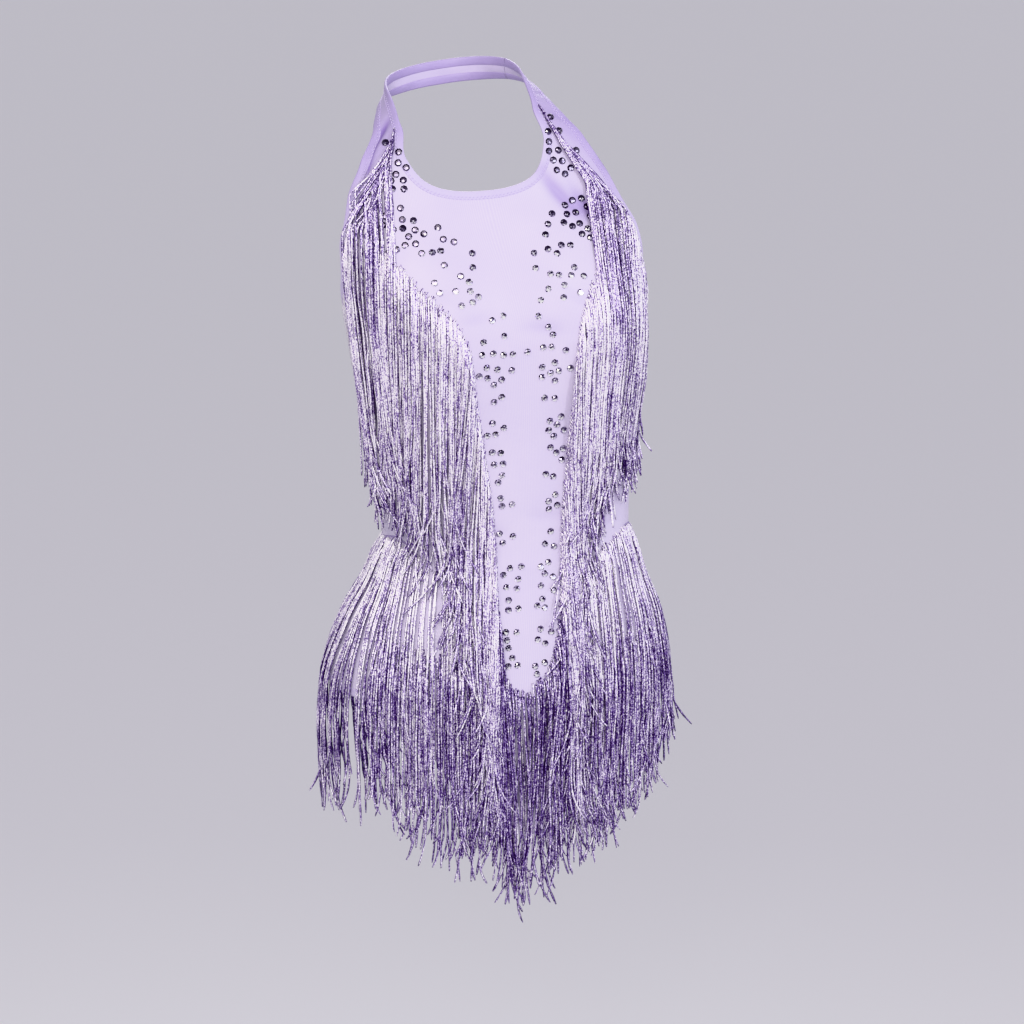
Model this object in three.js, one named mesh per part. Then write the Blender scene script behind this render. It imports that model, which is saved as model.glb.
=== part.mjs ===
// Glitter bodysuit: a halter-neck, low-backed stretch bodysuit with long chainette fringe,
// kept in the hollow shape and pose it has when it is worn. Millimetres, +Z up, front = -Y.
// The origin is the nape, where the halter hangs on the back of the wearer's neck.
import * as THREE from 'three';

// ---- Driving dimensions (mm) ----
const CLOTH = 1.5; // wall of the stretch cloth
const SEAM_GAP = 0.3; // clearance between two cut pieces at a seam
const COLUMNS = 18; // cells across the front panel, side seam to side seam
const TAPE_WIDTH = 7; // backing tape the strands are knotted into
const TAPE_IN = 2.6; // tape's inner face above the body (cloth 1.5 + clearance 1.1)
const TAPE_OUT = 3.9; // tape's outer face above the body
const TAPE_STEP = 16; // longest straight piece of a tape
const STRAND = 2.1; // side of a square strand
const ROOT = 3.4; // centre of a strand where it leaves its tape
const UNDER = 3.9; // centre of an under-layer strand above the body
const OVER = 6.9; // centre of an over-layer strand above the body
const FRINGE = 240; // free length of a strand
const STRAND_CHORD = 0.9; // how far a straight piece of a strand may cut a curve
const RISE = 9; // drop over which an over-layer strand steps off its tape
const CLING = { above: 0.12, below: 0.03, from: -440 }; // how far a strand can lean in, per mm of drop

const table = (columns, rows) =>
  rows.map((row) => Object.fromEntries(columns.map((name, i) => [name, row[i]])));

// Standard figure, size S (bust 84, waist 61, hips 88 cm): superellipse sections by height.
// z is measured from the side of the neck.
const FIGURE = table(['z', 'half', 'front', 'back', 'power'], [
  [-672, 145, 38, 82, 2.2],
  [-650, 148, 54, 92, 2.2],
  [-620, 156, 76, 106, 2.2],
  [-570, 160, 92, 113, 2.2],
  [-520, 157, 97, 111, 2.2],
  [-465, 142, 92, 100, 2.2],
  [-420, 121, 85, 86, 2.2],
  [-378, 110, 80, 76, 2.2],
  [-300, 114, 84, 78, 2.2],
  [-240, 124, 90, 84, 2.3],
  [-185, 132, 93, 88, 2.3],
  [-145, 146, 86, 84, 2.3],
  [-105, 157, 72, 78, 2.4],
  [-72, 152, 60, 72, 2.4],
  [-40, 128, 54, 66, 2.3],
  [-12, 82, 49, 62, 2.2],
  [15, 58, 44, 60, 2.1],
  [45, 55, 40, 58, 2.1],
]);
const CUP = { x: 70, z: -190, height: 16, width: 40, rise: 44 };

// Pose: sideways shift and sideways tilt of the trunk by height.
const POSE = table(['z', 'shift', 'tilt'], [
  [-672, -4, -1],
  [-540, -9, -1],
  [-395, 0, -1],
  [-200, -10, 1.5],
  [-90, -31, 2.5],
  [15, -47, 8],
  [45, -50, 8],
]);
const NAPE_Z = 15;

// Front edges of the cloth, wearer's left half, angle round the body from the front centre.
const NECKLINE = table(['x', 'z'], [
  [0, -72.5], [15, -72], [29, -70], [41, -66], [51, -59], [57.5, -46],
]);
const ARMHOLE = table(['angle', 'z'], [
  [45.2, -46], [44.6, -61], [45.8, -77], [47.6, -92], [52, -108],
  [56.3, -121], [66, -134], [78, -146], [90, -156],
]);
const BODY_ROWS = [
  -170, -184, -200, -222, -250, -282, -316, -345, -366, -380, -393, -406, -422, -444,
];
const LEG_ROWS = 8;
const LEG_FRONT = table(['angle', 'z'], [
  [0, -650], [10, -650], [20, -600], [30, -556], [40, -531],
  [50, -523], [60, -521], [70, -521], [80, -521], [90, -517],
]);
const LEG_BACK = table(['angle', 'z'], [
  [90, -517], [100, -521], [110, -527], [120, -537], [130, -551], [140, -570],
  [150, -593], [160, -620], [170, -650], [180, -650],
]);
const BACK_TOP = table(['angle', 'z'], [
  [90, -156], [100, -174], [110, -202], [120, -238], [130, -280], [140, -320],
  [150, -352], [160, -375], [170, -389], [180, -394],
]);
const BACK_ROWS = 17;
// The strap: its neck edge and its arm edge, from the top of the bust to the seam at the nape.
const STRAP = table(['neck', 'neckZ', 'arm', 'armZ'], [
  [29, -30.5, 48.3, -32],
  [37.4, -17, 60, -19],
  [46.5, -8, 69, -12],
  [59, 2, 78, -6],
  [75, 11, 88, -1],
  [92, 18, 103, 3],
  [112, 23, 120, 5],
]);
const NAPE_BAND = table(['angle', 'top', 'bottom'], [
  [112, 23, 5], [130, 25, 5.5], [150, 26, 6], [165, 26.5, 6.5], [180, 26.5, 6.5],
]);
// The crotch gusset, side view, from the front seam to the back seam.
const GUSSET = table(['y', 'z', 'half'], [
  [-54, -650, 30], [-47.5, -659, 29.5], [-38, -667.5, 29], [-22, -675, 28.5], [-4, -679.5, 28.5],
  [18, -681.5, 28.5], [42, -680.5, 29], [63, -675.5, 29.5], [78.5, -668, 30], [87, -659.5, 30],
  [92, -650, 30],
]);

// Fringe lines on the cloth, wearer's left half.
const PRINCESS = table(['x', 'z'], [
  [62, -5], [67, -15], [73, -28], [78, -47], [83, -63], [87, -84], [89.5, -104], [88, -118],
  [80, -132], [71, -143], [62, -155], [54, -170], [49.5, -187], [46.5, -216], [42, -256],
  [36.5, -294], [32.5, -330], [30, -367], [29, -403], [27.5, -438], [24.5, -470],
  [16, -490], [3.4, -506],
]);
const ARM_LINE = table(['angle', 'z'], [
  [37.5, -47], [39, -57], [41, -69], [43.5, -80], [46.5, -94], [51, -113],
  [57, -135], [66, -150], [76, -161], [87, -169],
]);
const HIP_LINE = table(['x', 'z'], [
  [34.5, -467], [41, -460], [55, -443], [68, -426], [79, -411], [88, -398], [100, -389],
]);
const HIP_SIDE = table(['angle', 'z'], [[62, -388], [72, -386], [81, -387], [89, -389]]);
const BACK_LINE = table(['angle', 'z'], [
  [91, -389], [110, -393], [130, -399], [150, -405], [165, -408], [180, -409],
]);
const LENGTH = { left: 195, right: 240 }; // hip fringe at the side seam, wearer's left and right

// ---- Curves ----
// Monotone cubic through a table's column.
function curve(xs, ys) {
  const n = xs.length;
  const h = [], d = [], m = new Array(n).fill(0);
  for (let i = 0; i < n - 1; i++) {
    h.push(xs[i + 1] - xs[i]);
    d.push((ys[i + 1] - ys[i]) / h[i]);
  }
  const end = (h0, h1, d0, d1) => {
    const s = ((2 * h0 + h1) * d0 - h0 * d1) / (h0 + h1);
    if (s * d0 <= 0) return 0;
    return d0 * d1 <= 0 && Math.abs(s) > 3 * Math.abs(d0) ? 3 * d0 : s;
  };
  if (n === 2) m.fill(d[0]);
  else {
    for (let i = 1; i < n - 1; i++) {
      if (d[i - 1] * d[i] <= 0) continue;
      const a = 2 * h[i] + h[i - 1], b = h[i] + 2 * h[i - 1];
      m[i] = (a + b) / (a / d[i - 1] + b / d[i]);
    }
    m[0] = end(h[0], h[1], d[0], d[1]);
    m[n - 1] = end(h[n - 2], h[n - 3], d[n - 2], d[n - 3]);
  }
  return (x) => {
    const v = Math.min(Math.max(x, xs[0]), xs[n - 1]);
    let i = 0;
    while (i < n - 2 && v > xs[i + 1]) i++;
    const t = (v - xs[i]) / h[i], u = 1 - t;
    return ys[i] * u * u * (1 + 2 * t) + ys[i + 1] * t * t * (1 + 2 * u)
      + h[i] * (m[i] * t * u * u - m[i + 1] * t * t * u);
  };
}
const column = (rows, key, value) => curve(rows.map((r) => r[key]), rows.map((r) => r[value]));
const half = column(FIGURE, 'z', 'half');
const front = column(FIGURE, 'z', 'front');
const back = column(FIGURE, 'z', 'back');
const power = column(FIGURE, 'z', 'power');
const shift = column(POSE, 'z', 'shift');
const tilt = column(POSE, 'z', 'tilt');
const rad = Math.PI / 180;

// ---- The figure the cloth lies on ----
const cup = (x, z, a, n) => {
  const side = Math.sqrt(Math.max(0, 1 - Math.pow(Math.min(1, Math.abs(x) / a), n)));
  const g = (s) => Math.exp(-((x - s * CUP.x) ** 2) / (2 * CUP.width ** 2)
    - ((z - CUP.z) ** 2) / (2 * CUP.rise ** 2));
  return CUP.height * (g(1) + g(-1)) * Math.min(1, 2.5 * side);
};
function body(angle, z) {
  const s = Math.sin(angle * rad), c = Math.cos(angle * rad), n = power(z), a = half(z);
  const x = a * Math.sign(s) * Math.pow(Math.abs(s), 2 / n);
  const deep = Math.pow(Math.abs(c), 2 / n);
  const y = c > 0 ? -front(z) * deep - cup(x, z, a, n) : back(z) * deep;
  return new THREE.Vector3(x, y, z);
}
function normal(angle, z) {
  const across = body(angle + 0.6, z).sub(body(angle - 0.6, z));
  const up = body(angle, z + 1.5).sub(body(angle, z - 1.5));
  return across.cross(up).normalize();
}
const lift = (angle, z, off) => body(angle, z).addScaledVector(normal(angle, z), off);
const angleOf = (x, z) =>
  Math.sign(x) * Math.asin(Math.pow(Math.min(1, Math.abs(x) / half(z)), power(z) / 2)) / rad;

const nape = new THREE.Vector3(shift(NAPE_Z), body(180, NAPE_Z).y, NAPE_Z);
function posed(p) {
  const r = tilt(p.z) * rad;
  return new THREE.Vector3(shift(p.z) + p.x * Math.cos(r), p.y, p.z + p.x * Math.sin(r)).sub(nape);
}

// ---- Solids ----
function solid(points, faces) {
  const g = new THREE.BufferGeometry();
  g.setAttribute('position', new THREE.Float32BufferAttribute(points.flatMap((p) => p.toArray()), 3));
  g.setIndex(faces.flat());
  return g;
}
// A sheet from rows of [angle, z] cells, thickened outwards; null marks a place with no cloth.
function sheet(rows, inner, outer) {
  const points = [], faces = [], idIn = [], idOut = [];
  rows.forEach((row, i) => {
    idIn.push([]);
    idOut.push([]);
    row.forEach((cell, j) => {
      if (!cell) return;
      idIn[i][j] = points.push(inner(cell)) - 1;
      idOut[i][j] = points.push(outer(cell)) - 1;
    });
  });
  const edges = new Map();
  const quad = (i, j) => [[i, j], [i + 1, j], [i + 1, j + 1], [i, j + 1]];
  for (let i = 0; i < rows.length - 1; i++)
    for (let j = 0; j < rows[i].length - 1; j++) {
      const q = quad(i, j);
      if (!q.every(([r, c]) => rows[r][c])) continue;
      const [a, b, c, d] = q.map(([r, k]) => idOut[r][k]);
      const [e, f, g, h] = q.map(([r, k]) => idIn[r][k]);
      const split = points[a].distanceTo(points[c]) <= points[b].distanceTo(points[d]);
      if (split) faces.push([a, b, c], [a, c, d], [e, g, f], [e, h, g]);
      else faces.push([a, b, d], [b, c, d], [e, h, f], [f, h, g]);
      for (const [p, r] of [[0, 1], [1, 2], [2, 3], [3, 0]]) {
        const key = [q[p], q[r]].join('|'), back = [q[r], q[p]].join('|');
        if (edges.has(back)) edges.delete(back);
        else edges.set(key, [q[p], q[r]]);
      }
    }
  for (const [[r0, c0], [r1, c1]] of edges.values()) {
    const a = idOut[r0][c0], b = idOut[r1][c1], c = idIn[r1][c1], d = idIn[r0][c0];
    faces.push([a, d, c], [a, c, b]);
  }
  return solid(points, faces);
}
const onBody = (cell) => posed(body(cell[0], cell[1]));
const onCloth = (cell) => posed(lift(cell[0], cell[1], CLOTH));

// ---- Cut pieces ----
const lerp = (a, b, t) => a + (b - a) * t;
const mirror = (right) => [...right.slice(1).reverse().map((c) => c && [-c[0], c[1]]), ...right];
const side = Math.atan2(SEAM_GAP / 2, 130) / rad; // half a seam gap, as an angle at the side seam

function frontPanel() {
  const n = COLUMNS / 2, open = NECKLINE.length - 1, rows = [];
  // Straps from the nape seam down to the top of the bust.
  const straps = [...STRAP].reverse();
  straps.forEach((s, k) => {
    const right = new Array(n + 1).fill(null);
    for (let j = open; j <= n; j++) {
      const t = (j - open) / (n - open);
      right[j] = [lerp(s.neck, s.arm, t), lerp(s.neckZ, s.armZ, t)];
    }
    rows.push(mirror(right));
  });
  // From the neckline down to the end of the straps' flare.
  const edge = ARMHOLE.slice(0, 5);
  edge.forEach((e, i) => {
    const right = [];
    for (let j = 0; j <= n; j++) {
      const top = j <= open
        ? [angleOf(NECKLINE[j].x, NECKLINE[j].z), NECKLINE[j].z]
        : [lerp(angleOf(NECKLINE[open].x, -46), ARMHOLE[0].angle, (j - open) / (n - open)), -46];
      const share = lerp(top[0] / ARMHOLE[0].angle, j / n, i / 4);
      right.push([share * e.angle, lerp(top[1], lerp(top[1], edge[4].z, i / 4), 1)]);
    }
    for (let j = open; j <= n; j++) right[j][1] = e.z;
    rows.push(mirror(right));
  });
  for (const e of ARMHOLE.slice(5)) {
    const right = [];
    for (let j = 0; j <= n; j++) right.push([Math.min(e.angle, 90 - side) * j / n, e.z]);
    rows.push(mirror(right));
  }
  for (const z of BODY_ROWS) {
    const right = [];
    for (let j = 0; j <= n; j++) right.push([(90 - side) * j / n, z]);
    rows.push(mirror(right));
  }
  const last = BODY_ROWS[BODY_ROWS.length - 1];
  for (let i = 1; i <= LEG_ROWS; i++) {
    const right = [];
    for (let j = 0; j <= n; j++)
      right.push([(90 - side) * j / n, lerp(last, LEG_FRONT[j].z, i / LEG_ROWS)]);
    rows.push(mirror(right));
  }
  return sheet(rows, onBody, onCloth);
}

function backPanel() {
  const angles = BACK_TOP.map((r) => r.angle);
  const rows = [];
  for (let i = 0; i <= BACK_ROWS; i++) {
    const t = i / BACK_ROWS;
    const right = angles.map((angle, j) =>
      [Math.max(angle, 90 + side), lerp(BACK_TOP[j].z, LEG_BACK[j].z, t)]);
    const left = right.slice(0, -1).reverse().map(([angle, z]) => [360 - angle, z]);
    rows.push([...right, ...left]);
  }
  return sheet(rows, onBody, onCloth);
}

function napeBand() {
  const seam = (1.8 * SEAM_GAP / 60) / rad;
  const right = NAPE_BAND, rows = [];
  for (let k = 0; k <= 2; k++) {
    const first = lerp(STRAP[6].neck, STRAP[6].arm, k / 2) + seam;
    const cells = right.map((r, i) =>
      [i ? r.angle : first, lerp(r.top, r.bottom, k / 2)]);
    rows.push([...cells, ...cells.slice(0, -1).reverse().map(([a, z]) => [360 - a, z])]);
  }
  return sheet(rows, onBody, onCloth);
}

function gusset() {
  const ys = GUSSET.map((g) => g.y), count = 12, across = [-1, -0.5, 0, 0.5, 1];
  const length = [0];
  for (let i = 1; i < GUSSET.length; i++)
    length.push(length[i - 1] + Math.hypot(ys[i] - ys[i - 1], GUSSET[i].z - GUSSET[i - 1].z));
  const total = length[length.length - 1];
  const along = ['y', 'z', 'half'].map((key) => curve(length, GUSSET.map((g) => g[key])));
  const at = (s) => along.map((f) => f(s));
  const rows = [];
  for (let i = 0; i <= count; i++) {
    rows.push(across.map((u) => [total * i / count, u]));
  }
  // The two ends run parallel to the seams of the panels.
  const seam = GUSSET[0].z - 1.25 * SEAM_GAP, turn = LEG_FRONT[1].angle;
  const place = (off) => ([s, u]) => {
    if (s === 0) return posed(lift(u * turn, seam, off));
    if (s === total) return posed(lift(180 - u * turn, seam, off));
    const [y, z, w] = at(s), [y0, z0] = at(s - 1), [y1, z1] = at(s + 1);
    const ny = z1 - z0, nz = -(y1 - y0), l = Math.hypot(ny, nz);
    const p = new THREE.Vector3(u * w, y + ny / l * off, z + nz / l * off);
    return posed(p);
  };
  return sheet(rows, place(0), place(CLOTH));
}

// ---- Fringe ----
// A line on the cloth as a function of its length, from a list of [angle, z].
function lineOf(points) {
  const d = [0];
  for (let i = 1; i < points.length; i++)
    d.push(d[i - 1] + body(...points[i - 1]).distanceTo(body(...points[i])));
  const angle = curve(d, points.map((p) => p[0])), z = curve(d, points.map((p) => p[1]));
  const total = d[d.length - 1];
  const at = (s) => [angle(s), z(s)];
  // Frame on the line: point, normal of the cloth, direction along, direction across.
  const frame = (s) => {
    const p = body(...at(s)), n = normal(...at(s));
    const along = body(...at(Math.min(total, s + 1))).sub(body(...at(Math.max(0, s - 1))));
    along.addScaledVector(n, -along.dot(n)).normalize();
    return { p, n, along, across: n.clone().cross(along) };
  };
  // Where the line passes a height, looking from its end.
  const passes = (height) => {
    let s = total;
    while (s > 0 && z(s) < height) s -= 0.5;
    return Math.max(0, s);
  };
  return { total, at, frame, passes };
}
// Horizontal distance from the body at height z, with the direction out and the body's slope.
function clearance(x, y, z) {
  const h = Math.max(z, -640), n = power(h), a = half(h), deep = y < 0 ? front(h) : back(h);
  const size = (u, v) => {
    const w = Math.max(0, Math.abs(v) - (v < 0 ? cup(u, h, a, n) : 0));
    return Math.pow(Math.pow(Math.abs(u) / a, n) + Math.pow(w / deep, n), 1 / n);
  };
  const gx = size(x + 0.5, y) - size(x - 0.5, y), gy = size(x, y + 0.5) - size(x, y - 0.5);
  const g = Math.hypot(gx, gy);
  return { gap: (size(x, y) - 1) / g, nx: gx / g, ny: gy / g };
}
// The way a strand hangs from its root: straight down, pushed out where the body is in the way.
function hang(start, layer, length) {
  const path = [start.clone()], step = 7, high = layer === 'over' ? OVER : UNDER;
  let { x, y } = start;
  for (let drop = step; drop < length + step; drop += step) {
    const d = Math.min(drop, length), z = start.z - d;
    const off = lerp(ROOT, high, Math.min(1, d / RISE));
    const lean = (z > CLING.from ? CLING.above : CLING.below) * step;
    const flat = z - (x - shift(z)) * Math.sin(tilt(z) * rad);
    for (let k = 0; k < 4; k++) {
      const here = clearance(x - shift(z), y, flat);
      const above = clearance(x - shift(z), y, flat + 4), slope = (above.gap - here.gap) / 4;
      const need = off * Math.sqrt(1 + slope * slope) - here.gap;
      const move = need > 0 ? need : k ? 0 : Math.max(need, -lean);
      x += here.nx * move;
      y += here.ny * move;
    }
    path.push(new THREE.Vector3(x, y, z));
  }
  return path;
}
// A path with the points left out that lie within a tolerance of the straight way.
function thin(path, tolerance) {
  const keep = (a, b) => {
    let far = 0, at = -1;
    const chord = new THREE.Line3(path[a], path[b]), q = new THREE.Vector3();
    for (let i = a + 1; i < b; i++) {
      const d = chord.closestPointToPoint(path[i], true, q).distanceTo(path[i]);
      if (d > far) [far, at] = [d, i];
    }
    return far > tolerance ? [...keep(a, at), ...keep(at, b).slice(1)] : [path[a], path[b]];
  };
  return keep(0, path.length - 1);
}
// One fringe: a tape along a line, and strands growing out of its lower side.
function fringe(points, stretches) {
  const line = lineOf(points), roots = [];
  for (const s of stretches) {
    // Strands hang straight down, so they are spread evenly sideways.
    const from = s.from(line), to = s.to(line), fine = 400, plan = [0];
    for (let i = 1; i <= fine; i++) {
      const p = body(...line.at(lerp(from, to, (i - 1) / fine)));
      const { p: q, n } = line.frame(lerp(from, to, i / fine));
      const sideways = Math.abs((q.y - p.y) * n.x - (q.x - p.x) * n.y) / Math.hypot(n.x, n.y);
      plan.push(plan[i - 1] + sideways);
    }
    const n = Math.round(plan[fine] / s.spacing);
    for (let k = 0; k <= n; k++) {
      const i = plan.findIndex((d) => d >= plan[fine] * k / n - 1e-9);
      roots.push({ s: lerp(from, to, i / fine), layer: s.layer, length: s.length });
    }
  }
  // Stations of the tape: both sides of each root, and more where roots are far apart.
  const stations = [{ s: 0 }];
  const reachTo = (s) => {
    const last = stations[stations.length - 1].s, n = Math.ceil((s - last) / TAPE_STEP);
    for (let k = 1; k < n; k++) stations.push({ s: lerp(last, s, k / n) });
  };
  for (const root of roots) {
    reachTo(root.s - STRAND / 2);
    stations.push({ s: root.s - STRAND / 2, root }, { s: root.s + STRAND / 2 });
  }
  reachTo(line.total);
  stations.push({ s: line.total });

  const vertices = [], faces = [];
  const corners = [[-1, TAPE_IN], [1, TAPE_IN], [1, TAPE_OUT], [-1, TAPE_OUT]];
  for (const { s } of stations) {
    const { p, n, across } = line.frame(s);
    for (const [u, off] of corners)
      vertices.push(posed(p.clone().addScaledVector(across, u * TAPE_WIDTH / 2).addScaledVector(n, off)));
  }
  const quad = (a, b, c, d) => faces.push([a, b, c], [a, c, d]);
  stations.slice(0, -1).forEach(({ root }, i) => {
    const down = root && (line.frame(root.s).across.z < 0 ? 1 : 3);
    for (let k = 0; k < 4; k++) {
      const a = 4 * i + k, b = 4 * i + (k + 1) % 4, loop = [a, b, b + 4, a + 4];
      if (k !== down) {
        quad(...loop);
        continue;
      }
      // The strand grows out of this side of the tape.
      const { p, n, along, across } = line.frame(root.s);
      const low = across.clone().multiplyScalar(k === 1 ? 1 : -1);
      const start = p.clone().addScaledVector(low, TAPE_WIDTH / 2).addScaledVector(n, ROOT);
      start.add(new THREE.Vector3(low.x, low.y, 0).multiplyScalar(1.6));
      start.z -= STRAND / 2 * Math.abs(along.z) + 1.5;
      const length = root.length ? root.length(line.at(root.s)[0]) : FRINGE;
      const path = thin(hang(posed(start).add(nape), root.layer, length), STRAND_CHORD);
      const out = new THREE.Vector3(n.x, n.y, 0).normalize();
      const wide = new THREE.Vector3(-out.y, out.x, 0);
      if (wide.dot(along) < 0) wide.negate();
      const signs = k === 1 ? [[-1, -1], [-1, 1], [1, 1], [1, -1]] : [[-1, 1], [-1, -1], [1, -1], [1, 1]];
      let ring = loop;
      for (const q of path) {
        const next = signs.map(([u, v]) => vertices.push(q.clone().sub(nape)
          .addScaledVector(wide, u * STRAND / 2).addScaledVector(out, v * STRAND / 2)) - 1);
        ring.forEach((c, j) => quad(c, ring[(j + 1) % 4], next[(j + 1) % 4], next[j]));
        ring = next;
      }
      quad(...ring);
    }
  });
  quad(3, 2, 1, 0);
  const z = 4 * (stations.length - 1);
  quad(z, z + 1, z + 2, z + 3);
  return solid(vertices, faces);
}

const flip = (points) => points.map(([a, z]) => [-a, z]);
const princess = PRINCESS.map((p) => [angleOf(p.x, p.z), p.z]);
const armLine = ARM_LINE.map((p) => [p.angle, p.z]);
const hipLine = [...HIP_LINE.map((p) => [angleOf(p.x, p.z), p.z]), ...HIP_SIDE.map((p) => [p.angle, p.z])];
const backHalf = BACK_LINE.map((p) => [p.angle, p.z]);
const backLine = [...backHalf, ...backHalf.slice(0, -1).reverse().map(([a, z]) => [360 - a, z])];
const along = (share) => (line) => share * line.total;
const height = (z) => (line) => line.passes(z);
const princessStretches = [
  { from: height(-100), to: height(-154), spacing: 3.4, layer: 'under' },
  { from: height(-160), to: along(0.997), spacing: 3.4, layer: 'over' },
];
const armStretches = (from) => [{ from: height(from), to: along(0.985), spacing: 5, layer: 'over' }];
const hipStretches = (end) => [{
  from: along(0.02), to: along(0.985), spacing: 4.2, layer: 'under',
  length: (angle) => lerp(FRINGE, end, THREE.MathUtils.smoothstep(Math.abs(angle), 35, 85)),
}];
const backStretches = [{
  from: along(0.01), to: along(0.99), spacing: 7.6, layer: 'under',
  length: (angle) => lerp(LENGTH.left, LENGTH.right, THREE.MathUtils.smoothstep(angle, 92, 268)),
}];

// ---- Materials ----
const lycra = new THREE.MeshStandardMaterial({ color: '#cdbbe8', roughness: 0.62, metalness: 0 });
const chainette = new THREE.MeshStandardMaterial({ color: '#8a6cc0', roughness: 0.3, metalness: 0.45 });

const bodysuit = new THREE.Group();
function place(name, geometry, material) {
  const mesh = new THREE.Mesh(geometry, material);
  mesh.name = name;
  bodysuit.add(mesh);
}
place('front_panel', frontPanel(), lycra);
place('back_panel', backPanel(), lycra);
place('crotch_gusset', gusset(), lycra);
place('nape_band', napeBand(), lycra);
place('fringe_armhole_left', fringe(armLine, armStretches(-64)), chainette);
place('fringe_armhole_right', fringe(flip(armLine), armStretches(-50)), chainette);
place('fringe_princess_left', fringe(princess, princessStretches), chainette);
place('fringe_princess_right', fringe(flip(princess), princessStretches), chainette);
place('fringe_hip_left', fringe(hipLine, hipStretches(LENGTH.left)), chainette);
place('fringe_hip_right', fringe(flip(hipLine), hipStretches(LENGTH.right)), chainette);
place('fringe_back', fringe(backLine, backStretches), chainette);

export default bodysuit;
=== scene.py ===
# %% [markdown]
# # A fringed halter bodysuit
#
# This notebook makes a halter bodysuit of lavender stretch cloth: two panels, a crotch gusset and
# a nape band, seven runs of long metallic fringe, and a scatter of flat-backed crystals. Every size
# is in millimetres on a standard figure, and make_piece turns millimetres into Blender's metres.

# %% Load the fixed frame
import math
import bpy
import numpy as np
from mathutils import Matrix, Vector


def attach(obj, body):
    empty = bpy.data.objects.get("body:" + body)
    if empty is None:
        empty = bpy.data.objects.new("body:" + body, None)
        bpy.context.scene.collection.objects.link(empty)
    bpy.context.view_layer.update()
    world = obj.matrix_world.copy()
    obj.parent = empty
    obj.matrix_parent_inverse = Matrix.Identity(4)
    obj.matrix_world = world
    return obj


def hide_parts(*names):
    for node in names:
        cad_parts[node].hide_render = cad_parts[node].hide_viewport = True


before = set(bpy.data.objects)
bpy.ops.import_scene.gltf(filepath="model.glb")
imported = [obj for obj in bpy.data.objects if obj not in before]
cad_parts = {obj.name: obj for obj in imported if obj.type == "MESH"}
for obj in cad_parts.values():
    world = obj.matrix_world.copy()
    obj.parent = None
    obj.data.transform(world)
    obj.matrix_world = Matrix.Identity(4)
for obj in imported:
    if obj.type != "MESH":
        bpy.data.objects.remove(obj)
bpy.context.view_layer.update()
print("frame nodes:", ", ".join(sorted(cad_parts)))

# %% [markdown]
# ## The figure
#
# The cloth is tight, so it has the shape of the figure below it. A dressmaker's figure can be
# given as a stack of sections: half width, depth in front, depth at the back, and how square the
# section is (a superellipse, whose power 2 is a plain ellipse). Two soft bumps are the bust cups.
# A function of the angle round the body and the height then gives any point of the cloth, which
# is finer than any sculpted mesh and keeps the left and right halves alike.

# %% Sections of the figure, and its pose
# Columns: height from the side of the neck, half width, front depth, back depth, power.
FIGURE = np.array([
    (-672, 145, 38, 82, 2.2), (-650, 148, 54, 92, 2.2), (-620, 156, 76, 106, 2.2),
    (-570, 160, 92, 113, 2.2), (-520, 157, 97, 111, 2.2), (-465, 142, 92, 100, 2.2),
    (-420, 121, 85, 86, 2.2), (-378, 110, 80, 76, 2.2), (-300, 114, 84, 78, 2.2),
    (-240, 124, 90, 84, 2.3), (-185, 128, 93, 88, 2.3), (-145, 139, 86, 84, 2.3),
    (-105, 157, 72, 78, 2.4), (-72, 152, 60, 72, 2.4), (-40, 128, 54, 66, 2.3),
    (-12, 82, 49, 62, 2.2), (15, 58, 44, 60, 2.1), (45, 55, 40, 58, 2.1),
])
CUP = {"x": 70, "z": -190, "height": 16, "width": 40, "rise": 44}
# Columns: height, sideways shift, sideways tilt in degrees.
POSE = np.array([
    (-672, -4, -1), (-540, -9, -1), (-395, 0, -1), (-200, -10, 1.5), (-90, -31, 2.5),
    (15, -47, 8), (45, -50, 8),
])
NAPE_HEIGHT = 15
CLOTH = 1.5
print(len(FIGURE), "sections of the figure; the cloth is", CLOTH, "mm thick")

# %% [markdown]
# ## A smooth curve through a table
#
# A table has a row every few centimetres. Straight lines between rows would crease the cloth, and
# an ordinary spline can swing past a row and bulge. A monotone cubic is smooth and stays between
# its rows, so every table in this notebook is read through one.

# %% Helper: a curve through a table's column
def smooth_curve(xs, ys):
    """A monotone cubic through a table's column: it never swings past a row."""
    xs, ys = np.asarray(xs, float), np.asarray(ys, float)
    h = np.diff(xs)
    d = np.diff(ys) / h
    m = np.zeros(len(xs))
    for i in range(1, len(xs) - 1):
        if d[i - 1] * d[i] > 0:
            a, b = 2 * h[i] + h[i - 1], h[i] + 2 * h[i - 1]
            m[i] = (a + b) / (a / d[i - 1] + b / d[i])

    def end_slope(h0, h1, d0, d1):
        s = ((2 * h0 + h1) * d0 - h0 * d1) / (h0 + h1)
        if s * d0 <= 0:
            return 0
        return 3 * d0 if d0 * d1 <= 0 and abs(s) > 3 * abs(d0) else s

    if len(xs) == 2:
        m[:] = d[0]
    else:
        m[0] = end_slope(h[0], h[1], d[0], d[1])
        m[-1] = end_slope(h[-1], h[-2], d[-1], d[-2])

    def at(x):
        v = np.clip(x, xs[0], xs[-1])
        i = np.clip(np.searchsorted(xs, v, side="right") - 1, 0, len(xs) - 2)
        t = (v - xs[i]) / h[i]
        u = 1 - t
        return (ys[i] * u * u * (1 + 2 * t) + ys[i + 1] * t * t * (1 + 2 * u)
                + h[i] * (m[i] * t * u * u - m[i + 1] * t * t * u))

    return at


half, front, back, power = (smooth_curve(FIGURE[:, 0], FIGURE[:, k]) for k in (1, 2, 3, 4))
shift, tilt = (smooth_curve(POSE[:, 0], POSE[:, k]) for k in (1, 2))
print("half width at the waist:", float(half(-378)), "mm")

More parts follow.
